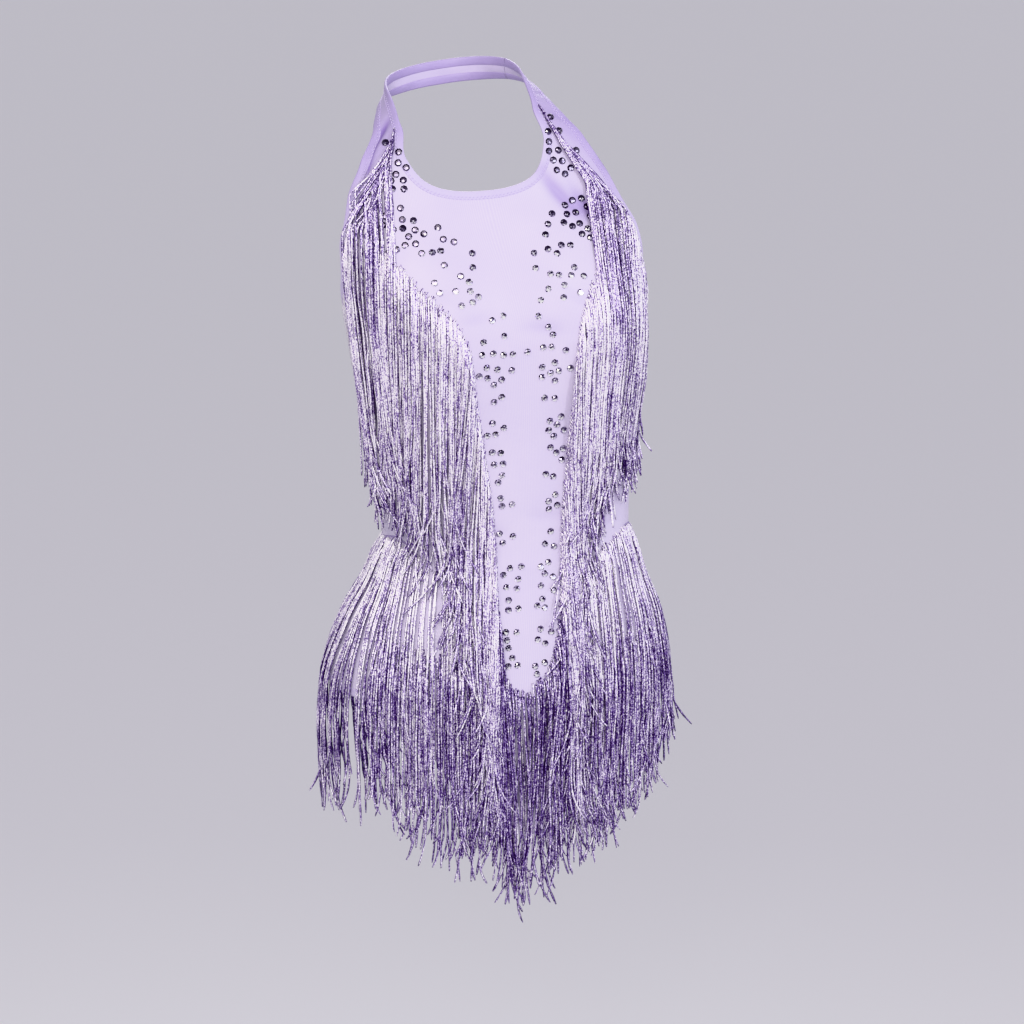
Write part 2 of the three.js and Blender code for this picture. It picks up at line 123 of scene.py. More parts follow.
# %% [markdown]
# ## Points and directions on the figure
#
# A point is given by its angle round the body, from the front centre, and its height. A step to
# each side gives two directions on the skin, and their cross product points outward. The stand
# that wears the suit leans a little, so the same lean is put on every point at the end.

# %% Helpers: points of the figure, and the lean
def cup_depth(x, z, a, n):
    """How far the bust stands out at x on a section of half width a and power n."""
    side = np.sqrt(np.maximum(0, 1 - np.minimum(1, np.abs(x) / a) ** n))
    bump = sum(np.exp(-((x - s * CUP["x"]) ** 2) / (2 * CUP["width"] ** 2)
                      - ((z - CUP["z"]) ** 2) / (2 * CUP["rise"] ** 2)) for s in (1, -1))
    return CUP["height"] * bump * np.minimum(1, 2.5 * side)


def figure_point(angle, z):
    """A point of the figure at an angle in degrees and a height."""
    angle, z = np.broadcast_arrays(np.asarray(angle, float), np.asarray(z, float))
    s, c = np.sin(np.radians(angle)), np.cos(np.radians(angle))
    n, a = power(z), half(z)
    x = a * np.sign(s) * np.abs(s) ** (2 / n)
    deep = np.abs(c) ** (2 / n)
    y = np.where(c > 0, -front(z) * deep - cup_depth(x, z, a, n), back(z) * deep)
    return np.stack([x, y, z], -1)


def unit(v):
    return v / np.maximum(np.linalg.norm(v, axis=-1, keepdims=True), 1e-9)


def run_along(points):
    """Distance along a row of points, from 0 at the first."""
    return np.concatenate([[0], np.cumsum(np.linalg.norm(np.diff(points, axis=0), axis=1))])


def figure_normal(angle, z):
    """The outward direction, from a step of 0.6 degrees and of 1.5 mm to each side."""
    across = figure_point(angle + 0.6, z) - figure_point(angle - 0.6, z)
    up = figure_point(angle, z + 1.5) - figure_point(angle, z - 1.5)
    return unit(np.cross(across, up))


def angle_at(x, z):
    """The angle of a point of the front that lies x mm from the centre line."""
    return np.sign(x) * np.degrees(np.arcsin(np.minimum(1, np.abs(x) / half(z)) ** (power(z) / 2)))


nape = np.array([shift(NAPE_HEIGHT), figure_point(180, NAPE_HEIGHT)[1], NAPE_HEIGHT], float)


def posed(p):
    """Leans the figure the way it stands, and puts the origin at the nape."""
    r = np.radians(tilt(p[..., 2]))
    x = shift(p[..., 2]) + p[..., 0] * np.cos(r)
    return np.stack([x, p[..., 1], p[..., 2] + p[..., 0] * np.sin(r)], -1) - nape


print("nape in the figure's frame:", np.round(nape, 1))

# %% [markdown]
# ## Creases
#
# Stretch cloth has few folds, and each has a cause: it is pulled from the strap to the bust, it
# spans the hollow between the cups, it is slack at the waist, and it is drawn in at the leg. They
# could come from a cloth simulation, but a tight knit barely moves in one. Here each crease is a
# row of its own: a soft trough or ridge along a bowed line, with its own length, width and depth.

# %% Creases, placed one by one
# Columns: angle, height, direction (degrees from level), length, width, depth (- is a trough), bow.
CREASES = np.array([
    (-14, -172, 8, 46, 6.5, -0.9, 4), (6, -186, -5, 58, 8, -1.3, -5),
    (18, -196, -14, 34, 5, 0.5, 3), (-4, -204, 3, 40, 6, 0.5, 3), (22, -160, -28, 52, 7, -1.0, 6),
    (-24, -158, 30, 48, 7, -0.9, -5), (22, -80, -56, 96, 9, -2.6, 6),
    (37, -84, -54, 70, 7, 0.8, -5), (31, -92, -58, 70, 7, -2.0, 3),
    (47, -62, -62, 40, 5.5, -1.0, 3), (52, -24, -42, 46, 5, -0.9, 3),
    (70, -6, -25, 38, 4.5, -0.8, 2), (-36, -92, 66, 56, 7, -1.2, -5), (-43, -70, 74, 48, 6, 0.6, 4),
    (-44, -34, 76, 64, 3.6, -2.6, -3), (-54, -18, 70, 56, 3.6, -2.2, -2),
    (-50, -28, 74, 56, 3.4, 0.8, -2), (-30, -118, 50, 38, 7, -0.8, 4),
    (10, -352, 4, 64, 7, -0.9, 5), (-16, -368, -7, 52, 6, -1.1, -4), (26, -380, 12, 58, 7, -1.2, 5),
    (-40, -388, -14, 66, 8, -1.6, -6), (44, -366, 6, 50, 6, -0.9, 4),
    (-58, -372, 5, 60, 7, -1.3, 5), (62, -392, 10, 56, 7, -1.4, -5), (2, -398, 3, 46, 6, 0.5, 4),
    (-78, -384, -6, 44, 6, -1.0, 4), (12, -560, 62, 50, 6, -1.0, 5),
    (-13, -572, -60, 46, 6, -0.9, -4), (28, -520, 40, 56, 7, -1.1, 6),
    (-31, -514, -38, 60, 7, -1.2, -6), (3, -606, 84, 40, 5, -0.8, 3),
    (50, -498, 18, 48, 6, -0.8, 4), (-54, -494, -16, 44, 6, -0.8, -4),
    (66, -238, -38, 52, 7, -0.9, 5), (-68, -250, 36, 56, 7, -1.0, -5),
    (114, -300, 48, 60, 8, -1.4, 6), (-112, -286, -50, 54, 7, -1.2, -5),
    (104, -250, 62, 44, 6, -0.9, 4), (-124, -340, -42, 58, 7, -1.3, -6),
    (132, -372, 30, 62, 8, -1.5, 6), (158, -412, 8, 64, 7, -1.4, 5),
    (-150, -418, -10, 70, 8, -1.6, -6), (176, -430, 3, 58, 6, -1.0, 5),
    (-172, -448, -5, 52, 6, -0.8, 4), (142, -436, 14, 48, 6, -0.9, -4),
    (-116, -400, -22, 50, 7, -1.1, 5), (100, -396, 16, 46, 6, -1.0, 4),
    (152, -560, 52, 58, 7, -1.1, 6), (-156, -572, -54, 54, 7, -1.0, -5),
    (168, -600, 70, 46, 6, -0.9, 4), (-170, -612, -72, 42, 6, -0.8, -4),
    (128, -520, 34, 52, 7, -0.9, 5), (-132, -512, -32, 48, 7, -0.9, -5),
    (130, 16, 20, 30, 4, -0.7, 2), (-146, 12, -16, 34, 4, -0.7, 2), (170, 18, 6, 36, 4.5, -0.6, 2),
])
print(len(CREASES), "creases, longest", CREASES[:, 3].max(), "mm")

# %% [markdown]
# ## How a crease moves the cloth
#
# Across a crease the height is a bell curve, and along it the height fades out at both ends. Every
# crease is measured in its own directions on the cloth, so one that runs down a strap is as easy
# as one that runs round the waist. The sum is clipped, so that crossing creases don't pile up.

# %% Helper: the creases' height at any point
def crease_frames():
    """For each crease: its centre, its direction, its crosswise direction and its sizes."""
    frames = []
    for angle, z, way, length, width, depth, bow in CREASES:
        n = figure_normal(angle, z)
        level = unit(figure_point(angle + 0.5, z) - figure_point(angle - 0.5, z))
        turned = math.radians(way)
        along = level * math.cos(turned) + np.cross(n, level) * math.sin(turned)
        frames.append((figure_point(angle, z), along, np.cross(n, along), length, width, depth, bow))
    return frames


CREASE_FRAMES = crease_frames()
DEEPEST_TROUGH, HIGHEST_RIDGE = -3.0, 0.85


def crease_height(p):
    """How far the creases lift or sink the cloth at figure points p, in mm."""
    flat = p.reshape(-1, 3)
    total = np.zeros(len(flat))
    for centre, along, crosswise, length, width, depth, bow in CREASE_FRAMES:
        d = flat - centre
        near = np.flatnonzero((d * d).sum(1) < length * length)
        if len(near) == 0:
            continue
        u = d[near] @ along / (length / 2)
        v = d[near] @ crosswise - bow * (u * u - 0.5)
        fade = np.maximum(0, 1 - u * u) ** 1.5
        total[near] += depth * fade * np.exp(-(v / (width * (1 + 0.35 * u))) ** 2)
    return np.clip(total, DEEPEST_TROUGH, HIGHEST_RIDGE).reshape(p.shape[:-1])


def on_cloth(angle, z, off):
    """A point off mm above the figure, creases included, in the pose."""
    p = figure_point(angle, z)
    lift = np.asarray(off + crease_height(p), float)
    return posed(p + figure_normal(angle, z) * lift[..., None])


deepest = crease_height(figure_point(CREASES[:, 0], CREASES[:, 1])).min()
print("deepest trough:", round(float(deepest), 1), "mm")

# %% [markdown]
# ## Colour and material helpers
#
# Colours are written as sRGB hex, as a dye card gives them, and turned to linear here. One
# function adds a node with its settings and links, so each material below reads as a short list.
# A link is named after its socket, or i and the socket's number where names repeat.

# %% Helpers for materials
def dye(hex_colour):
    """sRGB hex to linear RGBA."""
    parts = [int(hex_colour[i:i + 2], 16) / 255 for i in (1, 3, 5)]
    return [c / 12.92 if c <= 0.04045 else ((c + 0.055) / 1.055) ** 2.4 for c in parts] + [1]


def node(material, kind, settings=None, **links):
    """Adds a node. settings are its properties, plain socket values and a ramp's stops."""
    n = material.node_tree.nodes.new(kind)
    for key, value in (settings or {}).items():
        if key == "stops":
            while len(n.color_ramp.elements) < len(value):
                n.color_ramp.elements.new(0.5)
            for element, (position, hex_colour) in zip(n.color_ramp.elements, value):
                element.position, element.color = position, dye(hex_colour)
        elif isinstance(key, str) and hasattr(n, key):
            setattr(n, key, value)
        else:
            n.inputs[key].default_value = value
    for key, source in links.items():
        socket = n.inputs[int(key[1:])] if key[1:].isdigit() else n.inputs[key.replace("_", " ")]
        material.node_tree.links.new(source, socket)
    return n


def new_material(name):
    m = bpy.data.materials.new(name)
    m.use_nodes = True
    return m, m.node_tree.nodes["Principled BSDF"]


# %% [markdown]
# ## Stretch tricot
#
# The panels are a nylon and elastane tricot, warp-knitted and then heat-set: smooth, with a low
# satin gloss, fine vertical wales, and a slight bloom of sheen where it turns away. Stretched, the
# knit opens and looks pale. On the straps the colour goes over to a deep violet, partly the fuller
# dye of slack cloth and partly painted shade; in the troughs of the creases the deep violet is
# painted shade. An image texture could show all this, but it would smear where the body curves.
# So the knit is laid out in millimetres of cloth and stored on the mesh as "grain": round the body,
# down it, and how much of that deep violet goes on there.

# %% Material: warp-knitted stretch tricot
# Real wales are 0.35 mm apart and courses 0.3 mm, too fine to show, so both are drawn coarser.
WALE_MM = 1.1
COURSE_MM = 0.9


def make_tricot(name, light, deep, full, roughness):
    """Knit of two dye tones, going over to a deep violet for slack cloth and painted shade."""
    m, shader = new_material(name)
    grain = node(m, "ShaderNodeAttribute", {"attribute_name": "grain"}).outputs["Vector"]
    wales = node(m, "ShaderNodeTexWave", {"bands_direction": "X", "wave_profile": "SIN",
                                          "Scale": 2 / WALE_MM / 6.283, "Distortion": 0.6,
                                          "Detail": 1.0, "Detail Scale": 2.0}, Vector=grain)
    courses = node(m, "ShaderNodeTexWave", {"bands_direction": "Y", "wave_profile": "SIN",
                                            "Scale": 2 / COURSE_MM / 6.283, "Distortion": 0.8,
                                            "Detail": 1.0, "Detail Scale": 2.0}, Vector=grain)
    knit = node(m, "ShaderNodeMath", {"operation": "MULTIPLY_ADD", 1: 0.45},
                i0=courses.outputs["Fac"], i2=wales.outputs["Fac"])
    drift = node(m, "ShaderNodeTexNoise", {"Scale": 0.018, "Detail": 3.0, "Roughness": 0.55},
                 Vector=grain)
    slub = node(m, "ShaderNodeTexNoise", {"Scale": 0.55, "Detail": 2.0}, Vector=grain)
    tone = node(m, "ShaderNodeMath", {"operation": "MULTIPLY_ADD", 1: 0.35},
                i0=slub.outputs["Fac"], i2=drift.outputs["Fac"])
    dyed = node(m, "ShaderNodeValToRGB", {"stops": [(0.35, deep), (0.95, light)]},
                Fac=tone.outputs[0])
    threads = node(m, "ShaderNodeMix", {"data_type": "RGBA", "blend_type": "MULTIPLY",
                                        7: dye("#f5f1fb")},
                   i0=knit.outputs[0], i6=dyed.outputs["Color"])
    # The grain's third value mixes in the deep violet: slack cloth and painted shade on the straps,
    # painted shade in the troughs.
    slack_and_shade = node(m, "ShaderNodeSeparateXYZ", Vector=grain).outputs["Z"]
    relaxed_and_shaded = node(m, "ShaderNodeMix", {"data_type": "RGBA", 7: dye(full)},
                   i0=slack_and_shade, i6=threads.outputs[2])
    m.node_tree.links.new(relaxed_and_shaded.outputs[2], shader.inputs["Base Color"])
    bump = node(m, "ShaderNodeBump", {"Strength": 0.14, "Distance": 0.00012},
                Height=knit.outputs[0])
    m.node_tree.links.new(bump.outputs["Normal"], shader.inputs["Normal"])
    # Nylon: no metal, an IOR near 1.5, and a satin roughness from the flat, heat-set face.
    shader.inputs["Roughness"].default_value = roughness
    shader.inputs["IOR"].default_value = 1.46
    shader.inputs["Sheen Weight"].default_value = 0.06
    shader.inputs["Sheen Roughness"].default_value = 0.4
    shader.inputs["Sheen Tint"].default_value = dye("#efe4ff")
    return m


# The third colour is the deep violet of slack cloth and of painted shade.
tricot = make_tricot("stretch_tricot_lavender", "#cfc8da", "#c3bbd2", "#735ba0", 0.42)
hem_tricot = make_tricot("stretch_tricot_turned_hem", "#c9c1da", "#bbb1cf", "#70589c", 0.46)
print("materials:", tricot.name, hem_tricot.name)

# %% [markdown]
# ## Chainette fringe
#
# Each strand is chainette: a tiny knitted chain of violet rayon with a flat metallised yarn. It
# looks violet in the shade and nearly white where the foil catches the light. Foil seen from afar
# is a speckle: each link of the chain, 1 mm long, turns its own way. So a fine noise paints glints
# and shade link by link, from dark through violet to white, around a "tone" that is stored on each
# strand and holds painted light and shade of its own; the white links are more metallic than the
# dark ones.

# %% Material: metallised chainette
LINK_MM = 1.0


def make_chainette():
    m, shader = new_material("chainette_metallised_violet")
    tone = node(m, "ShaderNodeAttribute", {"attribute_name": "tone"}).outputs["Fac"]
    place = node(m, "ShaderNodeTexCoord").outputs["Object"]
    along = node(m, "ShaderNodeMapping", {"Scale": (1, 1, 0.7)}, Vector=place).outputs["Vector"]
    links = node(m, "ShaderNodeTexNoise", {"Scale": 1000 / LINK_MM, "Detail": 1.5}, Vector=along)
    chain = node(m, "ShaderNodeTexVoronoi", {"Scale": 1000 / LINK_MM}, Vector=along)
    # Painted glints and painted shade: the noise lifts some links to white and sinks others to dark.
    spark = node(m, "ShaderNodeMath", {"operation": "MULTIPLY_ADD", 1: 2.2, 2: -1.06},
                 i0=links.outputs["Fac"])
    mixed = node(m, "ShaderNodeMath", {"operation": "ADD"}, i0=tone, i1=spark.outputs[0])
    foil_colour = node(m, "ShaderNodeValToRGB", {"stops": [
        (0.02, "#2d1d4a"), (0.24, "#5f478a"), (0.45, "#9a86b9"), (0.64, "#d2c6df"),
        (0.82, "#fdf9ff")]}, Fac=mixed.outputs[0])
    m.node_tree.links.new(foil_colour.outputs["Color"], shader.inputs["Base Color"])
    foil = node(m, "ShaderNodeMapRange", {"From Min": 0.25, "From Max": 0.8, "To Min": 0.1,
                                          "To Max": 0.4}, Value=mixed.outputs[0])
    m.node_tree.links.new(foil.outputs[0], shader.inputs["Metallic"])
    bump = node(m, "ShaderNodeBump", {"Strength": 0.5, "Distance": 0.0004},
                Height=chain.outputs["Distance"])
    m.node_tree.links.new(bump.outputs["Normal"], shader.inputs["Normal"])
    # Metallised film under a clear coat: smoother than rayon, rougher than bare foil.
    shader.inputs["Roughness"].default_value = 0.34
    return m


chainette = make_chainette()
print("material:", chainette.name, "links", LINK_MM, "mm")

# %% [markdown]
# ## Heading braid
#
# The strands are caught in a narrow rayon braid. Rayon is soft and a little shiny, and the plait
# gives slanting ribs, so a diagonal wave drives both the colour and the bump.

# %% Material: plaited rayon braid
def make_braid():
    m, shader = new_material("rayon_heading_braid")
    grain = node(m, "ShaderNodeAttribute", {"attribute_name": "grain"}).outputs["Vector"]
    plait = node(m, "ShaderNodeTexWave", {"bands_direction": "DIAGONAL", "Scale": 0.42,
                                          "Distortion": 1.2, "Detail": 1.0}, Vector=grain)
    dyed = node(m, "ShaderNodeValToRGB", {"stops": [
        (0.15, "#76639a"), (0.6, "#9583b4"), (0.95, "#b8aacf")]}, Fac=plait.outputs["Fac"])
    m.node_tree.links.new(dyed.outputs["Color"], shader.inputs["Base Color"])
    bump = node(m, "ShaderNodeBump", {"Strength": 0.7, "Distance": 0.0004},
                Height=plait.outputs["Fac"])
    m.node_tree.links.new(bump.outputs["Normal"], shader.inputs["Normal"])
    shader.inputs["Roughness"].default_value = 0.55
    return m


braid = make_braid()
print("material:", braid.name)

# %% [markdown]
# ## Sewing thread
#
# The hems are sewn with spun polyester, two plies twisted together. A stitch is under half a
# millimetre thick, so a fine noise is enough for the plies.

# %% Material: spun polyester thread
def make_thread():
    m, shader = new_material("polyester_thread_lilac")
    place = node(m, "ShaderNodeTexCoord").outputs["Object"]
    ply = node(m, "ShaderNodeTexNoise", {"Scale": 1400.0, "Detail": 2.0}, Vector=place)
    dyed = node(m, "ShaderNodeValToRGB", {"stops": [(0.3, "#b5a7d0"), (0.7, "#cfc4e2")]},
                Fac=ply.outputs["Fac"])
    m.node_tree.links.new(dyed.outputs["Color"], shader.inputs["Base Color"])
    bump = node(m, "ShaderNodeBump", {"Strength": 0.4, "Distance": 0.0002},
                Height=ply.outputs["Fac"])
    m.node_tree.links.new(bump.outputs["Normal"], shader.inputs["Normal"])
    shader.inputs["Roughness"].default_value = 0.5
    return m


thread = make_thread()
print("material:", thread.name)

# %% [markdown]
# ## Mirror-backed crystal
#
# The stones are cut lead-free glass with a mirror back. Each facet then shows one small part of the
# room: one is nearly black and the next is white. Real refraction would need many light bounces to
# say the same, so each facet is a polished mirror with a painted reflection, a brightness of its
# own, stored as "tone".

# %% Material: cut glass with a mirror back
def make_crystal():
    m, shader = new_material("crystal_glass_mirror_back")
    facet = node(m, "ShaderNodeAttribute", {"attribute_name": "tone"}).outputs["Fac"]
    place = node(m, "ShaderNodeTexCoord").outputs["Object"]
    fire = node(m, "ShaderNodeTexNoise", {"Scale": 420.0, "Detail": 1.0}, Vector=place)
    mixed = node(m, "ShaderNodeMath", {"operation": "MULTIPLY_ADD", 1: 0.25},
                 i0=fire.outputs["Fac"], i2=facet)
    # Painted reflection of each facet, from near black to white.
    glass = node(m, "ShaderNodeValToRGB", {"stops": [
        (0.2, "#2a2236"), (0.45, "#6a6080"), (0.66, "#cfc6de"), (0.88, "#ffffff")]},
                 Fac=mixed.outputs[0])
    m.node_tree.links.new(glass.outputs["Color"], shader.inputs["Base Color"])
    # The mirror does most of the work, under a polished coat of glass.
    shader.inputs["Metallic"].default_value = 0.85
    shader.inputs["Roughness"].default_value = 0.09
    shader.inputs["Coat Weight"].default_value = 0.6
    shader.inputs["Coat Roughness"].default_value = 0.03
    return m


crystal = make_crystal()
print("material:", crystal.name)

# %% [markdown]
# ## From arrays to a Blender object
#
# The pieces are worked out as NumPy arrays, because adding half a million faces one by one would
# take minutes. This function turns points in millimetres and faces into an object, with the extra
# values that the shaders read.

# %% Helper: make a piece
def make_piece(name, points, faces, material, smooth=True, grain=None, tone=None):
    mesh = bpy.data.meshes.new(name)
    faces = np.asarray(faces, np.int32)
    size = faces.shape[1]
    mesh.vertices.add(len(points))
    mesh.vertices.foreach_set("co", (np.asarray(points, float) * 0.001).astype(np.float32).ravel())
    mesh.loops.add(faces.size)
    mesh.loops.foreach_set("vertex_index", faces.ravel())
    mesh.polygons.add(len(faces))
    mesh.polygons.foreach_set("loop_start", np.arange(0, faces.size, size, dtype=np.int32))
    mesh.polygons.foreach_set("loop_total", np.full(len(faces), size, np.int32))
    mesh.polygons.foreach_set("use_smooth", np.full(len(faces), smooth))
    mesh.update(calc_edges=True)
    mesh.validate()
    if grain is not None:
        store = mesh.attributes.new("grain", "FLOAT_VECTOR", "POINT")
        store.data.foreach_set("vector", np.asarray(grain, np.float32).ravel())
    if tone is not None:
        domain = "FACE" if len(tone) == len(faces) and not smooth else "POINT"
        store = mesh.attributes.new("tone", "FLOAT", domain)
        store.data.foreach_set("value", np.asarray(tone, np.float32))
    mesh.materials.append(material)
    piece = bpy.data.objects.new(name, mesh)
    bpy.context.scene.collection.objects.link(piece)
    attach(piece, "root")
    triangles = len(faces) * (size - 2)
    print(f"{name}: {triangles} triangles")
    return piece

# %% [markdown]
# ## Cut pieces
#
# Each cut piece is drawn flat first, as rows of (angle, height) cells with the true neckline,
# armholes and leg line. A subdivision surface then smooths that flat pattern, which rounds its
# edges and keeps the marked corners, and only then is it wrapped round the figure. Wrapping a
# smooth pattern gives even cells everywhere, where smoothing a finished shell would shrink it.

# %% Edges of the cut pieces
# (distance from the centre line, height) or (angle, height), wearer's left half.
NECKLINE = [(0, -72.5), (15, -72), (29, -70), (41, -66), (51, -59), (57.5, -46)]
ARMHOLE = [(45.2, -46), (44.6, -61), (45.8, -77), (47.6, -92), (52, -108),
           (56.3, -121), (66, -136), (78, -153), (90, -168)]
BODY_ROWS = [-184, -200, -222, -250, -282, -316, -345, -366, -380, -393, -406, -422, -444]
LEG_ROWS = 8
LEG_FRONT = [-650, -650, -600, -556, -531, -523, -521, -521, -521, -517]
BACK_ANGLES = [90, 100, 110, 120, 130, 140, 150, 160, 170, 180]
BACK_TOP = [-168, -184, -208, -238, -280, -320, -352, -375, -389, -394]
LEG_BACK = [-517, -521, -527, -537, -551, -568, -589, -615, -650, -650]
BACK_ROWS = 17
# Neck edge angle and height, arm edge angle and height, from the bust up to the nape seam.
STRAP = [(29, -30.5, 48.3, -32), (37.4, -17, 60, -19), (46.5, -8, 69, -12), (59, 2, 78, -6),
         (75, 11, 88, -1), (92, 18, 103, 3), (112, 23, 120, 5)]
# Angle, top, bottom.
NAPE_BAND = [(112, 23, 5), (130, 25, 5.5), (150, 26, 6), (165, 26.5, 6.5), (180, 26.5, 6.5)]
# Depth, height, half width, from the front seam to the back seam.
GUSSET = np.array([
    (-54, -650, 30), (-47.5, -659, 27.8), (-38, -667.5, 26.2), (-22, -675, 25), (-4, -679.5, 24.4),
    (18, -681.5, 24.4), (42, -680.5, 24.8), (63, -675.5, 25.6), (78.5, -668, 26.6),
    (87, -659.5, 27.9), (92, -650, 30),
])
HALF_COLUMNS = 9
SEAM_GAP = 0.3
# The seam gap as an angle, from the figure's radius at the side seam and at the nape.
SIDE_RADIUS, NAPE_RADIUS = 130, 60
SIDE_SEAM = 90 - math.degrees(SEAM_GAP / 2 / SIDE_RADIUS)
print("side seam at", round(SIDE_SEAM, 3), "degrees;", len(BODY_ROWS), "rows from bust to hip")

# %% [markdown]
# ## Patterns as rows of cells
#
# A cutter grades a pattern between a few true measures, and so do these functions: each row runs
# from the centre to an edge, and the cells between are shared out evenly. Where a strap parts from
# the neck, the cells of the gap are left empty. The left half is drawn and the right is mirrored.

# %% Patterns of the front, the back and the nape band
def mix(a, b, t):
    return a + (b - a) * t


def mirrored(right):
    """A whole row from its left half; the centre cell isn't repeated."""
    return [None if c is None else (-c[0], c[1]) for c in right[:0:-1]] + right


def round_back(left):
    """A whole row over the back, from its left half, which ends at 180 degrees."""
    return left + [(360 - angle, z) for angle, z in left[-2::-1]]


def front_pattern():
    n, neck_end, rows = HALF_COLUMNS, len(NECKLINE) - 1, []
    for neck, neck_z, arm, arm_z in reversed(STRAP):
        right = [None] * (n + 1)
        for j in range(neck_end, n + 1):
            t = (j - neck_end) / (n - neck_end)
            right[j] = (mix(neck, arm, t), mix(neck_z, arm_z, t))
        rows.append(mirrored(right))
    flare_end = ARMHOLE[4][1]
    neck_angles = [float(angle_at(x, z)) for x, z in NECKLINE]
    for i, (arm, arm_z) in enumerate(ARMHOLE[:5]):
        right = []
        for j in range(n + 1):
            if j <= neck_end:
                top, top_z = neck_angles[j], NECKLINE[j][1]
            else:
                t = (j - neck_end) / (n - neck_end)
                top, top_z = mix(neck_angles[-1], ARMHOLE[0][0], t), ARMHOLE[0][1]
            share = mix(top / ARMHOLE[0][0], j / n, i / 4)
            right.append((share * arm, arm_z if j >= neck_end else mix(top_z, flare_end, i / 4)))
        rows.append(mirrored(right))
    for arm, arm_z in ARMHOLE[5:]:
        rows.append(mirrored([(min(arm, SIDE_SEAM) * j / n, arm_z) for j in range(n + 1)]))
    for z in BODY_ROWS:
        rows.append(mirrored([(SIDE_SEAM * j / n, z) for j in range(n + 1)]))
    for i in range(1, LEG_ROWS + 1):
        rows.append(mirrored([(SIDE_SEAM * j / n, mix(BODY_ROWS[-1], LEG_FRONT[j], i / LEG_ROWS))
                              for j in range(n + 1)]))
    return rows


def back_pattern():
    rows = []
    for i in range(BACK_ROWS + 1):
        rows.append(round_back([(max(a, 180 - SIDE_SEAM), mix(top, leg, i / BACK_ROWS))
                                for a, top, leg in zip(BACK_ANGLES, BACK_TOP, LEG_BACK)]))
    return rows


def nape_pattern():
    seam, rows = math.degrees(1.8 * SEAM_GAP / NAPE_RADIUS), []
    for k in range(3):
        first = mix(STRAP[6][0], STRAP[6][2], k / 2) + seam
        rows.append(round_back([(angle if i else first, mix(top, bottom, k / 2))
                                for i, (angle, top, bottom) in enumerate(NAPE_BAND)]))
    return rows


print("rows of cells:", len(front_pattern()), len(back_pattern()), len(nape_pattern()))

# %% [markdown]
# ## Smoothing a pattern, and giving it two faces
#
# Blender's subdivision surface turns the coarse cells into a smooth outline while the pattern is
# still flat. The cloth is then a shell: the same cells on the figure and 1.5 mm above it, joined
# along the rim. Inside, the cloth lies against the skin, so it gets less of the deep violet of
# slack cloth and painted shade.

# %% Helpers: smooth a flat pattern, and make a shell of it
PATTERN_LEVELS = 3
CORNER_REACH = 0.3
GRAIN_RADIUS = 118
# Deep violet of slack cloth and painted shade: its share on the straps, in the troughs (painted
# shade only), at most, and the factor on the inner face.
STRAP_SLACK_AND_SHADE, TROUGH_SHADE, MOST_SLACK_AND_SHADE, INSIDE_SLACK_AND_SHADE = 0.5, 0.6, 0.9, 0.3


def smooth_pattern(rows, corners=()):
    """Cells and quads of a pattern after subdivision; corners are cells that stay sharp."""
    number, cells, quads = {}, [], []
    for i, row in enumerate(rows):
        for j, cell in enumerate(row):
            if cell is not None:
                number[i, j] = len(cells)
                cells.append((cell[0], cell[1], 0))
    for i in range(len(rows) - 1):
        for j in range(len(rows[i]) - 1):
            square = [(i, j), (i + 1, j), (i + 1, j + 1), (i, j + 1)]
            if all(c in number for c in square):
                quads.append([number[c] for c in square])
    mesh = bpy.data.meshes.new("pattern")
    mesh.from_pydata(cells, [], quads)
    sharp = mesh.attributes.new("crease_vert", "FLOAT", "POINT")
    for k, (a, z, _) in enumerate(cells):
        if any(max(abs(a - ca), abs(z - cz)) < CORNER_REACH for ca, cz in corners):
            sharp.data[k].value = 1.0
    flat = bpy.data.objects.new("pattern", mesh)
    bpy.context.scene.collection.objects.link(flat)
    finer = flat.modifiers.new("finer", "SUBSURF")
    finer.levels = finer.render_levels = PATTERN_LEVELS
    finer.boundary_smooth = "PRESERVE_CORNERS"
    finer.use_limit_surface = False
    fine = flat.evaluated_get(bpy.context.evaluated_depsgraph_get()).to_mesh()
    co = np.empty(len(fine.vertices) * 3, np.float32)
    fine.vertices.foreach_get("co", co)
    faces = np.empty(len(fine.loops), np.int32)
    fine.loops.foreach_get("vertex_index", faces)
    bpy.data.objects.remove(flat)
    return co.reshape(-1, 3)[:, :2].astype(float), faces.reshape(-1, 4)


def rim(faces):
    """The directed edges that only one face uses."""
    a = np.concatenate([faces[:, [k, (k + 1) % 4]] for k in range(4)])
    keys = {(p, q) for p, q in a.tolist()}
    return [(p, q) for p, q in a.tolist() if (q, p) not in keys]


def on_panel(cells, off):
    return on_cloth(cells[:, 0], cells[:, 1], off)


def slack_and_shade_at(angle, z):
    """0 where stretched, towards 1 on the straps (slack cloth and painted shade) and in troughs
    (painted shade).
    """
    out = np.abs((angle + 180) % 360 - 180)
    # The straps begin 130 mm down and 20 degrees out; a trough of 2.4 mm gets the whole painted
    # shade.
    strap = np.clip((z + 130) / 90, 0, 1) * np.clip((out - 20) / 20, 0, 1)
    trough_shade = np.clip(-crease_height(figure_point(angle, z)) / 2.4, 0, 1) ** 1.7
    return np.clip(STRAP_SLACK_AND_SHADE * strap + TROUGH_SHADE * trough_shade, 0, MOST_SLACK_AND_SHADE)


def panel_grain(cells):
    """The knit's own millimetres, round the body and down, and its share of slack colour and painted
    shade.
    """
    angle, z = cells[:, 0], cells[:, 1]
    return np.stack([np.radians(angle) * GRAIN_RADIUS, z, slack_and_shade_at(angle, z)], -1)


